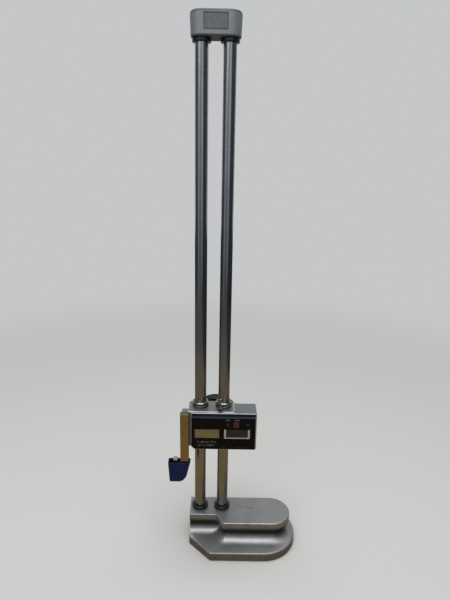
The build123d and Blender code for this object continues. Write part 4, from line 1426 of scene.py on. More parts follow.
# ---------------------------------------------------------------- head
@dataclass
class Slider:
    """Block that runs on both columns, with the pad that carries the measuring arm."""

    low: Point = (-36 * MM, -22 * MM, 177 * MM)
    high: Point = (34 * MM, 13 * MM, HEAD_TOP)
    back_corner: float = 4.8 * MM
    edge: float = 0.8 * MM
    pad_low: Point = (-46 * MM, -25.5 * MM, 188 * MM)
    pad_high: Point = (-35 * MM, -8 * MM, 234 * MM)
    clear_bore: float = 9.35 * MM
    bush_bore: float = 10.52 * MM
    bush_length: float = 14 * MM
    sleeve: float = 7.02 * MM
    sleeve_front: float = -3.2 * MM
    nose: float = 2.55 * MM
    pocket: Pair = (10.5 * MM, 6 * MM)
    arm_screw_x: float = -41 * MM
    arm_screw_heights: Pair = (196 * MM, 226 * MM)
    arm_screw: Pair = (2.2 * MM, 3.8 * MM)
    arm_screw_stops: tuple[float, float, float] = (-26.5 * MM, -12 * MM, -7 * MM)

    def bores(self) -> Mesh:
        """Drill every bore through the block and the pad.

        Returns:
            What is cut away.
        """
        mesh = blank()
        (_, front, low), (_, back, high) = self.low, self.high
        for x in COLUMN_X:
            turned(mesh, (self.bush_bore, self.clear_bore, self.bush_bore),
                   (low - PAST, low + self.bush_length, high - self.bush_length, high + PAST), upright(x))
        radius, depth = self.pocket
        turned(mesh, (radius, self.nose, self.sleeve),
               (front - PAST, front + depth, self.sleeve_front, back + PAST), through(*PINION))
        for z in self.arm_screw_heights:
            turned(mesh, self.arm_screw, self.arm_screw_stops, through(self.arm_screw_x, z), 48)
        return mesh

    def build(self) -> None:
        """Build and dress the block."""
        (x0, y0, z0), (x1, y1, z1) = self.low, self.high
        mesh = blank()
        corners = [(x0, y0, 0), (x1, y0, 0), (x1, y1, self.back_corner), (x0, y1, self.back_corner)]
        prism(mesh, rounded(corners, 8), z0, z1)
        slab(mesh, self.pad_low, self.pad_high)
        soften(mesh, self.edge, 3)
        piece = solid("slider_block", mesh)
        carve(piece, self.bores())
        finish_piece(piece, SatinAluminium().material(), "head", ("slider_casting",))


@dataclass
class WiperHousings:
    """Stepped collars on the slider, their bright rings and the head's lock."""

    height: float = 6.4 * MM
    radius: float = 12.75 * MM
    neck: float = 12 * MM
    bore: float = 9.1 * MM
    edge: float = 0.5 * MM
    inner_edge: float = 0.3 * MM
    ring_radius: float = 12.2 * MM
    ring_height: float = 2 * MM
    ring_slope: float = 1.1 * MM
    ring_side: float = 0.9 * MM
    ring_seat: float = 1.2 * MM
    lock_offset: Pair = (-5 * MM, -20.6 * MM)
    lock_rise: float = 3.9 * MM
    boss: float = 2.45 * MM
    stud: float = 1.5 * MM
    hub: float = 3.6 * MM
    hub_length: float = 5.5 * MM
    hub_gap: float = 0.3 * MM
    hub_crown: float = 0.9 * MM
    hub_dish: float = 1.6 * MM
    stem: float = 1.25 * MM
    stem_top: float = 18 * MM
    knob: float = 1.9 * MM

    def collar(self) -> list[Pair]:
        """Draw the section of one collar: a foot, a step and a neck.

        Returns:
            Its (radius, height) points.
        """
        step, top = HEAD_TOP + self.height / 2, HEAD_TOP + self.height
        return rounded([(self.bore, HEAD_TOP, 0), (self.radius, HEAD_TOP, 0),
                        (self.radius, step, self.edge), (self.neck, step, 0.2 * MM),
                        (self.neck, top, self.edge), (self.bore, top, self.inner_edge)], 4)

    def ring(self) -> list[Pair]:
        """Draw the section of one ring, with a sloping shoulder that catches the light.

        Returns:
            Its (radius, height) points.
        """
        foot = HEAD_TOP + self.height
        top = foot + self.ring_height
        return rounded([(self.bore, foot, 0), (self.ring_radius, foot, 0.2 * MM),
                        (self.ring_radius, foot + self.ring_side, 0.4 * MM),
                        (self.ring_radius - self.ring_slope, top, self.edge),
                        (self.bore + 0.5 * MM, top, self.inner_edge),
                        (self.bore, foot + self.ring_seat, 0.2 * MM)], 4)

    def build(self) -> None:
        """Build and dress the collars, rings, stud and lever."""
        dark, bright = TurnedDarkSteel().material(), PolishedSteel().material()
        offset = Vector((*self.lock_offset, 0))
        lock = about((COLUMN_X[1], 0, HEAD_TOP + self.lock_rise), offset.normalized())
        distance = offset.length
        left, right, rings = blank(), blank(), blank()
        lathe(left, self.collar(), upright(COLUMN_X[0]))
        finish_piece(solid("left_wiper", left), dark, "head", ("left_collar",))
        lathe(right, self.collar(), upright(COLUMN_X[1]))
        start, end = self.neck - 1 * MM, distance - self.hub_length / 2 - self.hub_gap
        bore = self.stud + 0.05 * MM
        boss = [(bore, start, 0), (self.boss, start, 0), (self.boss, end, 0.3 * MM), (bore, end, 0)]
        lathe(right, rounded(boss, 3), lock, 40)
        finish_piece(solid("right_wiper", right), dark, "head", ("clamp_collar",))
        for x in COLUMN_X:
            lathe(rings, self.ring(), upright(x))
        finish_piece(solid("wiper_rings", rings), bright, "head", ("collar_rings",))
        self.lever(lock, distance, dark, bright)

    def lever(self, lock: Matrix, distance: float, dark: Material, bright: Material) -> None:
        """Build the lock's dark hub, and its bright stud and stem.

        Args:
            lock: Frame along the lock's axis.
            distance: Lock's distance from the column's axis.
            dark: Finish of the hub.
            bright: Finish of the stem.
        """
        low, high = distance - self.hub_length / 2, distance + self.hub_length / 2
        hole = self.stud + 0.03 * MM
        hub, stem = blank(), blank()
        lathe(hub, rounded([(hole, low, 0), (self.hub, low, self.edge), (self.hub, high, self.hub_crown),
                            (self.stud + self.hub_crown, high, self.inner_edge),
                            (hole, high - self.hub_dish, 0)], 4), lock, 60)
        finish_piece(solid("lock_hub", hub), dark, "lock", ("lock_lever",))
        centre = lock @ Vector((0, 0, distance + self.hub_length / 8))
        foot, top = self.hub * 0.8, self.stem_top - self.knob
        turns = [math.radians(40 + 14 * step) for step in range(10)]
        ball = [(self.knob * math.sin(turn), top - self.knob * math.cos(turn)) for turn in turns]
        outline = [(0, foot), (self.stem * 1.5, foot), (self.stem * 1.3, foot + 1 * MM),
                   (self.stem, top - 3 * MM)]
        lathe(stem, outline + ball + [(0, top + self.knob)], Matrix.Translation(centre), 40)
        finish_piece(solid("lock_stem", stem), bright, "lock", smooth=50.0)
        dress_node("lock_stud", bright)


@dataclass
class DisplayUnit:
    """Housing with the printed panel, two windows, three keys and the battery door."""

    left: float = -31 * MM
    right: float = 67.4 * MM
    housing_right: float = 68.6 * MM
    foot: float = 175.5 * MM
    front: float = -28 * MM
    plate: float = 1.4 * MM
    rise: float = 0.8 * MM
    corner_cut: float = 4.8 * MM
    back: float = 6.5 * MM
    slider_front: float = -22 * MM
    slider_right: float = 34 * MM
    wall: float = 2.2 * MM
    seam: Pair = (0.8 * MM, 0.7 * MM)
    slider_gap: Pair = (1.3 * MM, 1.0 * MM)
    sawn_edge: float = 0.3 * MM
    window_heights: Pair = (194.3 * MM, 209.9 * MM)
    windows: tuple[Pair, Pair] = ((-26 * MM, 12 * MM), (19.2 * MM, 58.6 * MM))
    frame_width: float = 3 * MM
    window_thickness: float = 1 * MM
    key_height: float = 217.8 * MM
    keys: tuple[tuple[str, str, float, float, float], ...] = (
        ("zero_button", "zero_key", 25.0 * MM, 5.2 * MM, 4.6 * MM),
        ("preset_button", "preset_key", 37.4 * MM, 8.4 * MM, 9.0 * MM),
        ("unit_button", "unit_key", 55.0 * MM, 4.4 * MM, 4.6 * MM),
    )
    key_gap: float = 0.3 * MM
    key_proud: float = 0.5 * MM
    key_edge: float = 0.45 * MM
    key_flange: Pair = (0.8 * MM, 0.6 * MM)
    door: Point = (51.3 * MM, 6.5 * MM, 200.5 * MM)
    door_plug: float = 11.5 * MM
    door_rim: float = 13 * MM
    door_thickness: float = 1.2 * MM
    door_dish: float = 0.4 * MM
    door_ribs: float = 0.25 * MM
    coin_slot: Point = (8 * MM, 1.4 * MM, 0.9 * MM)
    bands: tuple[tuple[float, float, str], ...] = (
        (228.8 * MM, 231.6 * MM, "#3d4150"),
        (231.6 * MM, 235.8 * MM, "#191c28"),
    )
    ink_depth: float = 0.02 * MM
    words: tuple[tuple[str, str, float, float, float], ...] = (
        ("zero", "ZERO", 21.8 * MM, 224.9 * MM, 1.9 * MM),
        ("preset", "PRESET", 34.6 * MM, 224.9 * MM, 1.9 * MM),
        ("range", "0 - 600 mm / 24 in", -21.6 * MM, 187.2 * MM, 2.7 * MM),
        ("step", "0.01 mm / 0.0005 in", -20.6 * MM, 181.6 * MM, 2.3 * MM),
    )
    faint_words: tuple[tuple[str, str, float, float, float], ...] = (
        ("foot_a", "mm", 17.5 * MM, 178.0 * MM, 1.6 * MM),
        ("foot_b", "in", 31.0 * MM, 178.0 * MM, 1.6 * MM),
        ("foot_c", "ON / OFF", 37.5 * MM, 178.0 * MM, 1.6 * MM),
        ("foot_d", "1 - 2", 53.5 * MM, 178.0 * MM, 1.6 * MM),
    )

    def shape(self, foot: float, right: float, top: float) -> list[Pair]:
        """Outline in X and Z of a plate with its lower left corner cut off.

        Args:
            foot: Its foot.
            right: Its right side.
            top: Its top.

        Returns:
            The outline's points.
        """
        return [(self.left + self.corner_cut, foot), (right, foot), (right, top), (self.left, top),
                (self.left, foot + self.corner_cut)]

    def housing(self) -> None:
        """Shell behind the panel, shallow before the slider and deep to its right."""
        face, behind = self.front + self.plate, self.slider_front
        foot, side = self.foot + self.rise, self.housing_right
        mesh, deep, cell = blank(), blank(), blank()
        facing(mesh, self.shape(foot, side, HEAD_TOP), face, behind)
        soften(mesh, 0.5 * MM, 2, 80.0)
        shell = solid("housing_shell", mesh)
        slab(deep, (self.slider_right, behind - 1.5 * MM, foot), (side, self.back, HEAD_TOP))
        soften(deep, 0.9 * MM, 3)
        deep_box = solid("housing_box", deep)
        notch(shell, (self.left + self.wall + self.corner_cut, face - PAST, foot + self.wall),
              (side - self.wall, behind - 0.8 * MM, HEAD_TOP - self.wall))
        depth, drop = self.seam
        notch(shell, (self.left - PAST, face - PAST, HEAD_TOP - drop),
              (side + PAST, face + depth, HEAD_TOP + PAST))
        depth, drop = self.slider_gap
        notch(shell, (self.left - PAST, behind - depth, HEAD_TOP - drop),
              (self.slider_right, behind + PAST, HEAD_TOP + PAST))
        x, _, z = self.door
        turned(cell, (self.door_plug + 0.05 * MM,), (-0.6 * MM, 7 * MM), through(x, z), 72)
        carve(deep_box, cell)
        metal = SatinAluminium(name="housing_aluminium", tone="#7a8084", cloud_tone="#73787d").material()
        finish_piece(shell, metal, "head", ("display_housing",))
        finish_piece(deep_box, metal, "head")

    def panel(self) -> None:
        """Printed plate with its window and key openings."""
        mesh, cutter = blank(), blank()
        back = self.front + self.plate
        facing(mesh, self.shape(self.foot, self.right, HEAD_TOP + self.rise), self.front, back)
        soften(mesh, self.sawn_edge, 2, 80.0)
        # The sawn sides are bare metal too, and not only the rounded edges; their near-white tone is partly
        # a painted highlight.
        wear = mesh.faces.layers.float[WEAR]
        for face in mesh.faces:
            if abs(face.normal.y) < 0.5:
                face[wear] = 1.0
        plate = solid("panel_plate", mesh)
        before, behind = self.front - PAST, back + PAST
        for start, end in self.windows:
            slab(cutter, (start, before, self.window_heights[0]), (end, behind, self.window_heights[1]))
        for _, _, x, width, height in self.keys:
            half = (width / 2 + self.key_gap, height / 2 + self.key_gap)
            facing(cutter, rounded_box((x, self.key_height), half, 0.8 * MM, 4), before, behind)
        carve(plate, cutter)
        finish_piece(plate, PrintedPanel(bands=self.bands).material(), "head", ("fascia",))

    def window_pieces(self) -> None:
        """Acrylic windows, the pale frame and the two cells behind them."""
        clear = ClearAcrylic().material()
        back = self.front + self.plate
        (low, high), inset = self.window_heights, self.frame_width
        (left0, left1), (right0, right1) = self.windows
        sill = low + inset / 2
        for name, start, end, foot in (("left_window", left0, left1, low),
                                       ("right_window", right0 + inset, right1 - inset, sill)):
            mesh = blank()
            slab(mesh, (start, back - self.window_thickness, foot), (end, back, high))
            soften(mesh, 0.15 * MM, 2)
            finish_piece(solid(name + "_pane", mesh), clear, "head", (name,))
        mesh = blank()
        outline = [(right0, low), (right1, low), (right1, high), (right1 - inset, high),
                   (right1 - inset, sill), (right0 + inset, sill), (right0 + inset, high), (right0, high)]
        facing(mesh, outline, self.front, back)
        soften(mesh, 0.35 * MM, 3)
        finish_piece(solid("pale_frame", mesh), PaleStyrene().material(), "head", ("window_frame",))
        dress_node("left_display", ReflectiveDisplay().material())
        dress_node("right_display", DarkCell().material())

    def key_pieces(self) -> None:
        """Three keys with softened caps and the flanges that hold them."""
        dark = SiliconeKey().material()
        red = SiliconeKey(name="red_key", tone="#401a12", cloud_tone="#54271d").material()
        back, z = self.front + self.plate, self.key_height
        flange, thickness = self.key_flange
        for node, body, x, width, height in self.keys:
            mesh = blank()
            half, tall = width / 2, height / 2
            outline = rounded_box((x, z), (half, tall), 0.9 * MM, 5)
            facing(mesh, outline, self.front - self.key_proud, back + 0.1 * MM)
            soften(mesh, self.key_edge, 4)
            slab(mesh, (x - half - flange, back, z - tall - flange),
                 (x + half + flange, back + thickness, z + tall + flange))
            rubber = red if node == "preset_button" else dark
            finish_piece(solid(node + "_cap", mesh), rubber, body, (node,))

    def label(self, name: str, words: str, x: float, z: float, height: float, ink: Material) -> None:
        """Print a few plain words on the panel.

        Args:
            name: The piece's name.
            words: What it says.
            x: Left end of the words.
            z: Foot of the words.
            height: Height of a capital.
            ink: Finish of the print.
        """
        data = bpy.data.curves.new(name, "FONT")
        data.body = words
        data.size = height * 1.4
        data.extrude = self.ink_depth
        data.materials.append(ink)
        piece = add_object(name, data)
        place = Matrix.Translation((x, self.front - self.ink_depth, z))
        piece.matrix_world = place @ Matrix.Rotation(math.pi / 2, 4, "X")
        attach(piece, "head")
        LOG.info("%s printed", name)

    def labels(self) -> None:
        """Plain generic words and numbers by the keys and windows."""
        ink = PanelInk().material()
        faint = PanelInk(name="faint_ink", tone="#5e5d57", cloud_tone="#3a3a36").material()
        for rows, tone in ((self.words, ink), (self.faint_words, faint)):
            for name, words, x, z, height in rows:
                self.label("label_" + name, words, x, z, height, tone)

    def battery_door(self) -> None:
        """Round door with a ribbed rim and a coin slot."""
        x, y, z = self.door
        rim, dish = y + self.door_thickness, y + self.door_thickness - self.door_dish
        mesh = blank()
        lathe(mesh, rounded([(0, y - 0.2 * MM, 0), (self.door_rim, y, 0.1 * MM),
                             (self.door_rim, rim, 0.5 * MM), (self.door_rim - 2 * MM, rim, 0.2 * MM),
                             (self.door_rim - 2.5 * MM, dish, 0.2 * MM), (0, dish, 0)], 3),
              through(x, z), 120, self.door_ribs)
        turned(mesh, (self.door_plug,), (2.8 * MM, y), through(x, z), 72)
        piece = solid("battery_door", mesh)
        long, deep, wide = self.coin_slot
        notch(piece, (x - long, rim - deep, z - wide), (x + long, rim + PAST, z + wide))
        moulding = BlackMoulding(name="door_moulding").material()
        finish_piece(piece, moulding, "cell_cover", ("battery_cover",))

    def build(self) -> None:
        """Build and dress the whole unit."""
        for make in (self.housing, self.panel, self.window_pieces, self.key_pieces, self.labels,
                     self.battery_door):
            make()


@dataclass
class HandWheel:
    """Dished phenolic wheel with grooves round its rim, on a flanged bearing."""

    front: float = 22.5 * MM
    width: float = 16 * MM
    radius: float = 36.5 * MM
    rim: float = 6 * MM
    web: float = 4 * MM
    hub: float = 10 * MM
    hub_front: float = 18.3 * MM
    bore: float = 3.52 * MM
    ridges: int = 4
    groove: float = 1 * MM
    fillet: float = 0.8 * MM
    rim_edges: Pair = (1.2 * MM, 0.9 * MM)
    groove_edge: float = 0.3 * MM
    bore_edge: float = 0.2 * MM

    def section(self) -> list[Pair]:
        """Draw the wheel's closed section.

        Returns:
            Its (radius, depth) points.
        """
        y0, y1 = self.front, self.front + self.width
        inner, web = self.radius - self.rim, self.front + (self.width - self.web) / 2
        pitch = self.width / (2 * self.ridges + 1)
        inside, outside = self.rim_edges
        corners: list[Corner] = [(inner, y0, inside), (self.radius, y0, outside)]
        for index in range(self.ridges):
            groove = y0 + pitch * (2 * index + 1)
            corners += [(self.radius, groove, self.groove_edge),
                        (self.radius - self.groove, groove + pitch / 2, self.groove_edge),
                        (self.radius, groove + pitch, self.groove_edge)]
        dish, boss, end = inner - 1 * MM, self.hub + 1 * MM, y1 - self.rim
        corners += [(self.radius, y1, outside), (inner, y1, inside), (dish, web + self.web, self.fillet),
                    (boss, web + self.web, self.fillet), (self.hub, end, 0.6 * MM),
                    (self.bore, end, self.bore_edge), (self.bore, self.hub_front, self.bore_edge),
                    (self.hub, self.hub_front, 0.4 * MM), (boss, web, self.fillet),
                    (dish, web, self.fillet)]
        return rounded(corners, 3)

    def build(self) -> None:
        """Build and dress the wheel."""
        mesh = blank()
        lathe(mesh, self.section(), through(*PINION), 144)
        piece = solid("wheel_moulding", mesh)
        finish_piece(piece, MouldedPhenolic().material(), "wheel", ("hand_wheel",), 50.0)


# ---------------------------------------------------------------- measuring arm
@dataclass
class MeasuringArm:
    """Upright ground bar with a foot, the scriber, its clamp and its knurled screw."""

    left: float = -47 * MM
    right: float = -34.4 * MM
    front: float = -35 * MM
    back: float = -25.5 * MM
    top: float = 238 * MM
    edge: float = 0.4 * MM
    foot: float = 137.5 * MM
    foot_left: float = -60.8 * MM
    foot_back: float = -27 * MM
    foot_top: float = 145.9 * MM
    taper: Pair = (4.3 * MM, 22.5 * MM)
    scriber_foot: float = 129.1 * MM
    scriber_tip: float = 124.6 * MM
    scriber_depth: float = 7.2 * MM
    tip_width: float = 2.2 * MM
    tip_reach: float = 1.3 * MM
    tip_slope: float = 3.4 * MM
    scriber_inset: float = 7.1 * MM
    clamp_x: float = -54.5 * MM
    clamp_width: float = 8 * MM
    clamp_wall: float = 1.5 * MM
    clamp_drop: float = 3.9 * MM
    clamp_rise: float = 5 * MM
    clamp_room: float = 1.6 * MM
    clamp_edge: float = 0.8 * MM
    thumb_radius: float = 4.5 * MM
    thumb_top: float = 162 * MM
    thumb_height: float = 12 * MM
    thumb_stud: float = 2 * MM
    knurl: float = 0.28 * MM

    def bar(self) -> None:
        """Ground bar with its foot, with painted shade over its top end."""
        # Painted shade over the bar's top end.
        end = band(self.top - 0.2 * MM, self.top, 0.1 * MM, 0.75)
        mesh = blank()
        run, rise = self.taper
        outline = [(self.foot_left, self.foot), (self.right - run, self.foot),
                   (self.right, self.foot + rise), (self.right, self.top), (self.left, self.top),
                   (self.left, self.foot_top), (self.foot_left, self.foot_top)]
        facing(mesh, outline, self.front, self.back)
        soften(mesh, self.edge, 3, 60.0)
        piece = solid("arm_bar", mesh)
        notch(piece, (self.foot_left - PAST, self.foot_back, self.foot - PAST),
              (self.left, self.back + PAST, self.foot_top + PAST))
        ground = FlatGroundSteel(shade_tone="#4c4f45", shade_boxes=(end,)).material()
        finish_piece(piece, ground, "head", ("measuring_arm",))

    def scriber(self) -> None:
        """Carbide-tipped scriber with its dropped nose."""
        tip, tail = self.foot_left - self.tip_reach, self.right - self.scriber_inset
        heel = tip + self.tip_slope
        mesh = blank()
        half, foot, nose = self.scriber_depth / 2, self.scriber_foot, self.scriber_tip
        outline = [(tip, nose), (tip + self.tip_width, nose), (heel, foot), (tail - 1 * MM, foot),
                   (tail, foot + 1 * MM), (tail, self.foot), (heel, self.foot),
                   (tip, nose + self.tip_width)]
        facing(mesh, outline, SCRIBER_Y - half, SCRIBER_Y + half)
        soften(mesh, 0.2 * MM, 2)
        steel = PolishedSteel(name="scriber_steel").material()
        finish_piece(solid("scriber_blade", mesh), steel, "head", ("scriber",))

    def clamp(self) -> None:
        """Box frame round the foot and the scriber."""
        x0, x1 = self.clamp_x - self.clamp_width / 2, self.clamp_x + self.clamp_width / 2
        half = self.foot_back - SCRIBER_Y + 0.02 * MM
        low, high = self.scriber_foot - self.clamp_drop, self.foot_top + self.clamp_rise
        mesh, opening = blank(), blank()
        reach = half + self.clamp_wall
        slab(mesh, (x0, SCRIBER_Y - reach, low), (x1, SCRIBER_Y + reach, high))
        soften(mesh, self.clamp_edge, 3)
        piece = solid("clamp_frame", mesh)
        slab(opening, (x0 - PAST, SCRIBER_Y - half, self.scriber_foot),
             (x1 + PAST, SCRIBER_Y + half, self.foot_top + self.clamp_room))
        turned(opening, (self.thumb_stud + 0.05 * MM,), (self.foot_top, high + PAST),
               upright(self.clamp_x, SCRIBER_Y), 40)
        carve(piece, opening)
        steel = TurnedDarkSteel(name="clamp_steel", tone="#34342f", pattern=Pattern.GRAIN).material()
        finish_piece(piece, steel, "head", ("scriber_clamp",))

    def thumb(self) -> None:
        """Knurled screw: a straight-knurled head with a smooth crown."""
        neck, top = self.thumb_top - self.thumb_height + 2 * MM, self.thumb_top
        radius, stud = self.thumb_radius, self.thumb_stud
        place = upright(self.clamp_x, SCRIBER_Y)
        mesh = blank()
        lathe(mesh, rounded([(0, neck, 0), (radius, neck, 0.4 * MM), (radius, top - 0.9 * MM, 0.3 * MM),
                             (radius - 0.9 * MM, top, 0.4 * MM), (0, top, 0)], 3), place, 80, self.knurl)
        chamfer, end = 0.4 * MM, neck + 0.5 * MM
        lathe(mesh, [(0, self.foot_top), (stud - chamfer, self.foot_top), (stud, self.foot_top + chamfer),
                     (stud, end), (0, end)], place, 40)
        steel = PolishedSteel(name="knurled_steel", tone="#b4b1a8").material()
        finish_piece(solid("knurled_screw", mesh), steel, "clamp_thumb", ("thumb_screw",), 20.0)

    def build(self) -> None:
        """Build and dress the bar, the scriber, the clamp and the screw."""
        for make in (self.bar, self.scriber, self.clamp, self.thumb):
            make()


@dataclass
class ScriberGuard:
    """Dipped vinyl cup over the scriber: soft corners, a rolled rim and an even wall."""

    floor: float = 123.2 * MM
    rim: float = 156.8 * MM
    wall: float = 1.1 * MM
    top: Pair = (-65.8 * MM, -31.8 * MM)
    shoulder: Pair = (-38 * MM, 8.4 * MM)
    bottom: Pair = (-63.6 * MM, -44.8 * MM)
    heel: float = 2.2 * MM
    toe: float = 9 * MM
    half_depth: float = 5.67 * MM
    edge: float = 1.6 * MM
    rim_roll: float = 0.5 * MM

    def outline(self, inset: float, extra: float = 0.0) -> list[Pair]:
        """Draw the cup's outline in X and Z.

        Args:
            inset: How far it is moved in.
            extra: How far its sides run on above the rim.

        Returns:
            The outline's points.
        """
        foot, shoulder, top = self.floor + inset, self.floor + self.shoulder[1], self.rim
        lean = (self.top[1] - self.shoulder[0]) / (top - shoulder)
        left_lean = (self.top[0] - self.bottom[0]) / (top - self.floor)
        corners = [
            (self.bottom[0] + inset, foot, self.heel - inset),
            (self.bottom[1] - inset * 0.4, foot, self.toe - inset),
            (self.shoulder[0] - inset, shoulder + inset * 0.3, self.toe - inset),
            (self.top[1] - inset + lean * extra, top + extra, 0.0),
            (self.top[0] + inset + left_lean * extra, top + extra, 0.0),
        ]
        return rounded(corners, 8)

    def at_rim(self, edge: bmesh.types.BMEdge) -> bool:
        """Whether an edge lies in the cup's rim."""
        return all(vert.co.z > self.rim - 0.1 * MM for vert in edge.verts)

    def build(self) -> None:
        """Build and dress the cup."""
        half = self.half_depth
        outer, inner = blank(), blank()
        facing(outer, self.outline(0.0), SCRIBER_Y - half - self.wall, SCRIBER_Y + half + self.wall)
        clean(outer)
        sharp = math.radians(50)
        bevel(outer, [edge for edge in outer.edges
                      if not self.at_rim(edge) and edge.calc_face_angle(0.0) > sharp], self.edge, 5)
        cup = solid("guard_cup", outer)
        facing(inner, self.outline(self.wall, 5 * MM), SCRIBER_Y - half, SCRIBER_Y + half)
        soften(inner, 0.8 * MM, 3, 80.0)
        carve(cup, inner)
        work = blank()
        work.from_mesh(cup.data)
        bevel(work, [edge for edge in work.edges
                     if self.at_rim(edge) and edge.calc_face_angle(0.0) > 0.8], self.rim_roll, 3)
        work.to_mesh(cup.data)
        work.free()
        finish_piece(cup, DippedVinyl().material(), "guard", ("scriber_guard",), 50.0)


@dataclass
class Fittings:
    """Small pieces shown as they come from the frame, each in its own finish."""

    plan: tuple[tuple[Finish, tuple[str, ...]], ...] = (
        (MilledSteel(), ("column_rack", "pinion_shaft")),
        (BlackOxideSteel(), ("column_bolts", "cap_grub_screws", "bearing_screws", "arm_screws",
                             "wheel_screw")),
        (PolishedSteel(), ("pinion_bearing",)),
        (SinteredBronze(), ("column_bushes",)),
        (BlackMoulding(), ("encoder_disc", "read_head", "board_switches")),
        (SolderMask(), ("circuit_board",)),
        (NickelCan(), ("battery",)),
    )

    def build(self) -> None:
        """Dress every one of them."""
        for finish, names in self.plan:
            material = finish.material()
            for name in names:
                dress_node(name, material)


# ---------------------------------------------------------------- studio
@dataclass(frozen=True)
class Card:
    """Card that only reflections see.

    Its glow is the strength of its own light, and none if the lamps light it. The light
    may grow between two heights, and the tone turn into a rim's away from the stand.
    """

    name: str
    place: Point
    normal: Point
    size: Pair
    tone: str
    glow: float = 0.0
    fade: Pair | None = None
    rim: str = ""
    rim_reach: Pair = (0.15, 0.9)

    def material(self) -> Material:
        """Build the card's material.

        Returns:
            The finished material.
        """
        material, tree, shader = new_material(self.name)
        sockets = {"Base Color": linear("#000000" if self.glow else self.tone), "Roughness": 0.9,
                   "Specular IOR Level": 0.0, "Emission Color": linear(self.tone),
                   "Emission Strength": self.glow}
        for socket, value in sockets.items():
            shader.inputs[socket].default_value = value
        position = add_node(tree, "ShaderNodeNewGeometry").outputs["Position"]
        if self.fade:
            height = add_node(tree, "ShaderNodeSeparateXYZ", None, {0: position})
            settings = {"From Min": self.fade[0], "From Max": self.fade[1], "To Max": self.glow}
            grown = add_node(tree, "ShaderNodeMapRange", settings, {"Value": height.outputs["Z"]})
            tree.links.new(grown.outputs[0], shader.inputs["Emission Strength"])
        if self.rim:
            reach = add_node(tree, "ShaderNodeVectorMath", {"operation": "LENGTH"}, {0: position})
            settings = {"From Min": self.rim_reach[0], "From Max": self.rim_reach[1]}
            share = add_node(tree, "ShaderNodeMapRange", settings, {"Value": reach.outputs["Value"]})
            settings = {"data_type": "RGBA", 6: linear(self.tone), 7: linear(self.rim)}
            mixed = add_node(tree, "ShaderNodeMix", settings, {0: share.outputs[0]})
            tree.links.new(mixed.outputs[2], shader.inputs["Base Color"])
        return material


@dataclass(frozen=True)
class Lamp:
    """Soft rectangular lamp, with its power in watts."""

    name: str
    place: Point
    aim: Point
    size: Pair
    power: float


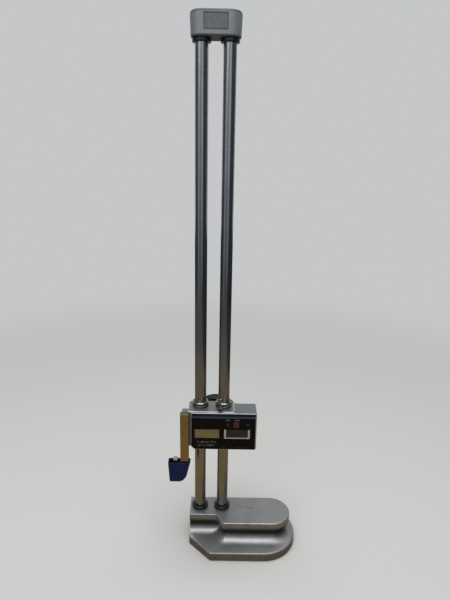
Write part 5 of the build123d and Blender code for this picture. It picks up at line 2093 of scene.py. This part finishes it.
@dataclass
class Studio:
    """Pale floor that fades into a pale room, soft lamps, reflected cards and the camera."""

    focal_px: float = 465.0
    image_height_px: float = 600.0
    sensor: float = 36.0
    eye: Point = (14.0 * MM, -651.8 * MM, 593.5 * MM)
    pitch: float = 0.2794
    roll: float = 0.0181
    yaw: float = 0.0048
    floor_size: float = 40.0
    floor_tone: str = "#c9c8c4"
    floor_fade: Pair = (0.55, 1.6)
    room_tone: str = "#c6c7c8"
    sky_tone: str = "#e8edf2"
    sky_strength: float = 0.5
    cards: tuple[Card, ...] = (
        Card("bench_card", (0, 0, 0.001), (0, 0, 1), (6, 6), "#957f5b", rim="#66655f"),
        Card("shade_card", (1.5, 0, 0.002), (0, 0, 1), (1.8, 3.0), "#403f3c"),
        Card("wall_card", (0, -1.75, 1.0), (0, 1, 0), (3.6, 2.2), "#a5abb3", 0.9, (-0.45, 1.05)),
        Card("left_strip", (-1.0, -1.0, 1.0), (1, 1, 0), (0.62, 2.2), "#dde3ea", 0.95, (-0.35, 1.05)),
        Card("right_strip", (0.40, -1.6, 1.0), (-0.2, 1, 0), (0.75, 2.2), "#dde3ea", 0.95, (-0.35, 1.05)),
        Card("left_card", (-1.5, -0.4, 0.7), (1, 0.1, 0), (2.4, 1.8), "#62666b", 1.0, (-0.45, 1.1)),
        Card("right_card", (1.3, -0.4, 0.7), (-1, 0.2, 0), (2.4, 1.8), "#505359", 1.0, (-0.45, 1.1)),
    )
    lamps: tuple[Lamp, ...] = (
        Lamp("ceiling_panel", (0.0, -0.15, 2.0), (0, -0.15, 0), (1.6, 1.7), 30.0),
        Lamp("front_fill", (-0.5, -1.8, 1.2), (0, 0, 0.4), (1.4, 1.0), 6.0),
    )

    def camera(self) -> None:
        """Create the scene's camera from its place and its three turns."""
        data = bpy.data.cameras.new("bench_camera")
        data.sensor_fit = "VERTICAL"
        data.sensor_height = self.sensor
        data.lens = self.focal_px / self.image_height_px * self.sensor
        data.clip_start = 0.01
        camera = add_object("bench_camera", data)
        level = Vector((math.sin(self.yaw), math.cos(self.yaw), 0))
        side = Vector((math.cos(self.yaw), -math.sin(self.yaw), 0))
        up = Vector((0, 0, 1))
        ahead = level * math.cos(self.pitch) - up * math.sin(self.pitch)
        over = up * math.cos(self.pitch) + level * math.sin(self.pitch)
        right = side * math.cos(self.roll) + over * math.sin(self.roll)
        over = over * math.cos(self.roll) - side * math.sin(self.roll)
        turn = Matrix((right, over, -ahead)).transposed().to_4x4()
        camera.matrix_world = Matrix.Translation(self.eye) @ turn
        bpy.context.scene.camera = camera

    def plane(self, name: str, place: Point, normal: Point, size: Pair, material: Material) -> Piece:
        """Add a flat stage piece.

        Args:
            name: The piece's name.
            place: Its centre.
            normal: Direction that it faces.
            size: Its width and its height.
            material: What it is made of.

        Returns:
            The piece, marked as stage.
        """
        mesh = bmesh.new()
        turn = Matrix.Translation(place) @ Vector(normal).to_track_quat("Z", "Y").to_matrix().to_4x4()
        half_x, half_y = size[0] / 2, size[1] / 2
        corners = ((-half_x, -half_y), (half_x, -half_y), (half_x, half_y), (-half_x, half_y))
        mesh.faces.new([mesh.verts.new(turn @ Vector((x, y, 0))) for x, y in corners])
        piece = shown(name, mesh)
        piece.data.materials.append(material)
        return piece

    def floor(self) -> None:
        """Lay the floor, which turns into the room's own tone further out."""
        material, tree, shader = new_material("pale_bench")
        for socket, value in (("Base Color", linear(self.floor_tone)), ("Roughness", 0.7),
                              ("Specular IOR Level", 0.0)):
            shader.inputs[socket].default_value = value
        place = add_node(tree, "ShaderNodeTexCoord").outputs["Object"]
        reach = add_node(tree, "ShaderNodeVectorMath", {"operation": "LENGTH"}, {0: place})
        settings = {"interpolation_type": "SMOOTHSTEP", "From Min": self.floor_fade[0],
                    "From Max": self.floor_fade[1]}
        far = add_node(tree, "ShaderNodeMapRange", settings, {"Value": reach.outputs["Value"]})
        glow = add_node(tree, "ShaderNodeEmission", {"Color": linear(self.room_tone), "Strength": 1.0})
        mix = add_node(tree, "ShaderNodeMixShader", None,
                       {0: far.outputs[0], 1: shader.outputs[0], 2: glow.outputs[0]})
        tree.links.new(mix.outputs[0], tree.nodes["Material Output"].inputs["Surface"])
        self.plane("bench_top", (0, 0, 0), (0, 0, 1), (self.floor_size, self.floor_size), material)

    def sky(self) -> None:
        """Plain surroundings: pale to the eye and in reflections, dimmer as a light."""
        world = bpy.data.worlds.new("plain_room")
        bpy.context.scene.world = world
        world.use_nodes = True
        tree = world.node_tree
        tree.nodes.clear()
        rays = add_node(tree, "ShaderNodeLightPath")
        seen = rays.outputs["Is Camera Ray"]
        for kind in ("Is Glossy Ray", "Is Transmission Ray"):
            links = {0: seen, 1: rays.outputs[kind]}
            seen = add_node(tree, "ShaderNodeMath", {"operation": "MAXIMUM"}, links).outputs[0]
        room = add_node(tree, "ShaderNodeBackground", {"Color": linear(self.room_tone), "Strength": 1.0})
        light = add_node(tree, "ShaderNodeBackground",
                         {"Color": linear(self.sky_tone), "Strength": self.sky_strength})
        mix = add_node(tree, "ShaderNodeMixShader", None,
                       {0: seen, 1: light.outputs[0], 2: room.outputs[0]})
        add_node(tree, "ShaderNodeOutputWorld", None, {"Surface": mix.outputs[0]})

    def build(self) -> None:
        """Set up the camera, the floor, the surroundings, the cards and the lamps."""
        self.camera()
        self.floor()
        self.sky()
        for card in self.cards:
            piece = self.plane(card.name, card.place, card.normal, card.size, card.material())
            piece.visible_camera = piece.visible_diffuse = False
            piece.visible_shadow = piece.visible_transmission = False
        for lamp in self.lamps:
            data = bpy.data.lights.new(lamp.name, "AREA")
            data.shape = "RECTANGLE"
            data.size, data.size_y = lamp.size
            data.energy = lamp.power
            piece = add_object(lamp.name, data)
            piece.location = lamp.place
            aim = Vector(lamp.aim) - Vector(lamp.place)
            piece.rotation_euler = aim.to_track_quat("-Z", "Y").to_euler()
        bpy.context.scene.view_settings.view_transform = "Standard"
        LOG.info("studio built, with %d cards and %d lamps", len(self.cards), len(self.lamps))


def main() -> None:
    """Build the studio and every sub-assembly in order."""
    logging.basicConfig(level=logging.INFO, format="%(name)s: %(message)s")
    for assembly in (Studio(), BaseCasting(), Columns(), TopCap(), Bumpers(), Slider(), WiperHousings(),
                     DisplayUnit(), HandWheel(), MeasuringArm(), ScriberGuard(), Fittings()):
        assembly.build()


if __name__ == "__main__":
    main()
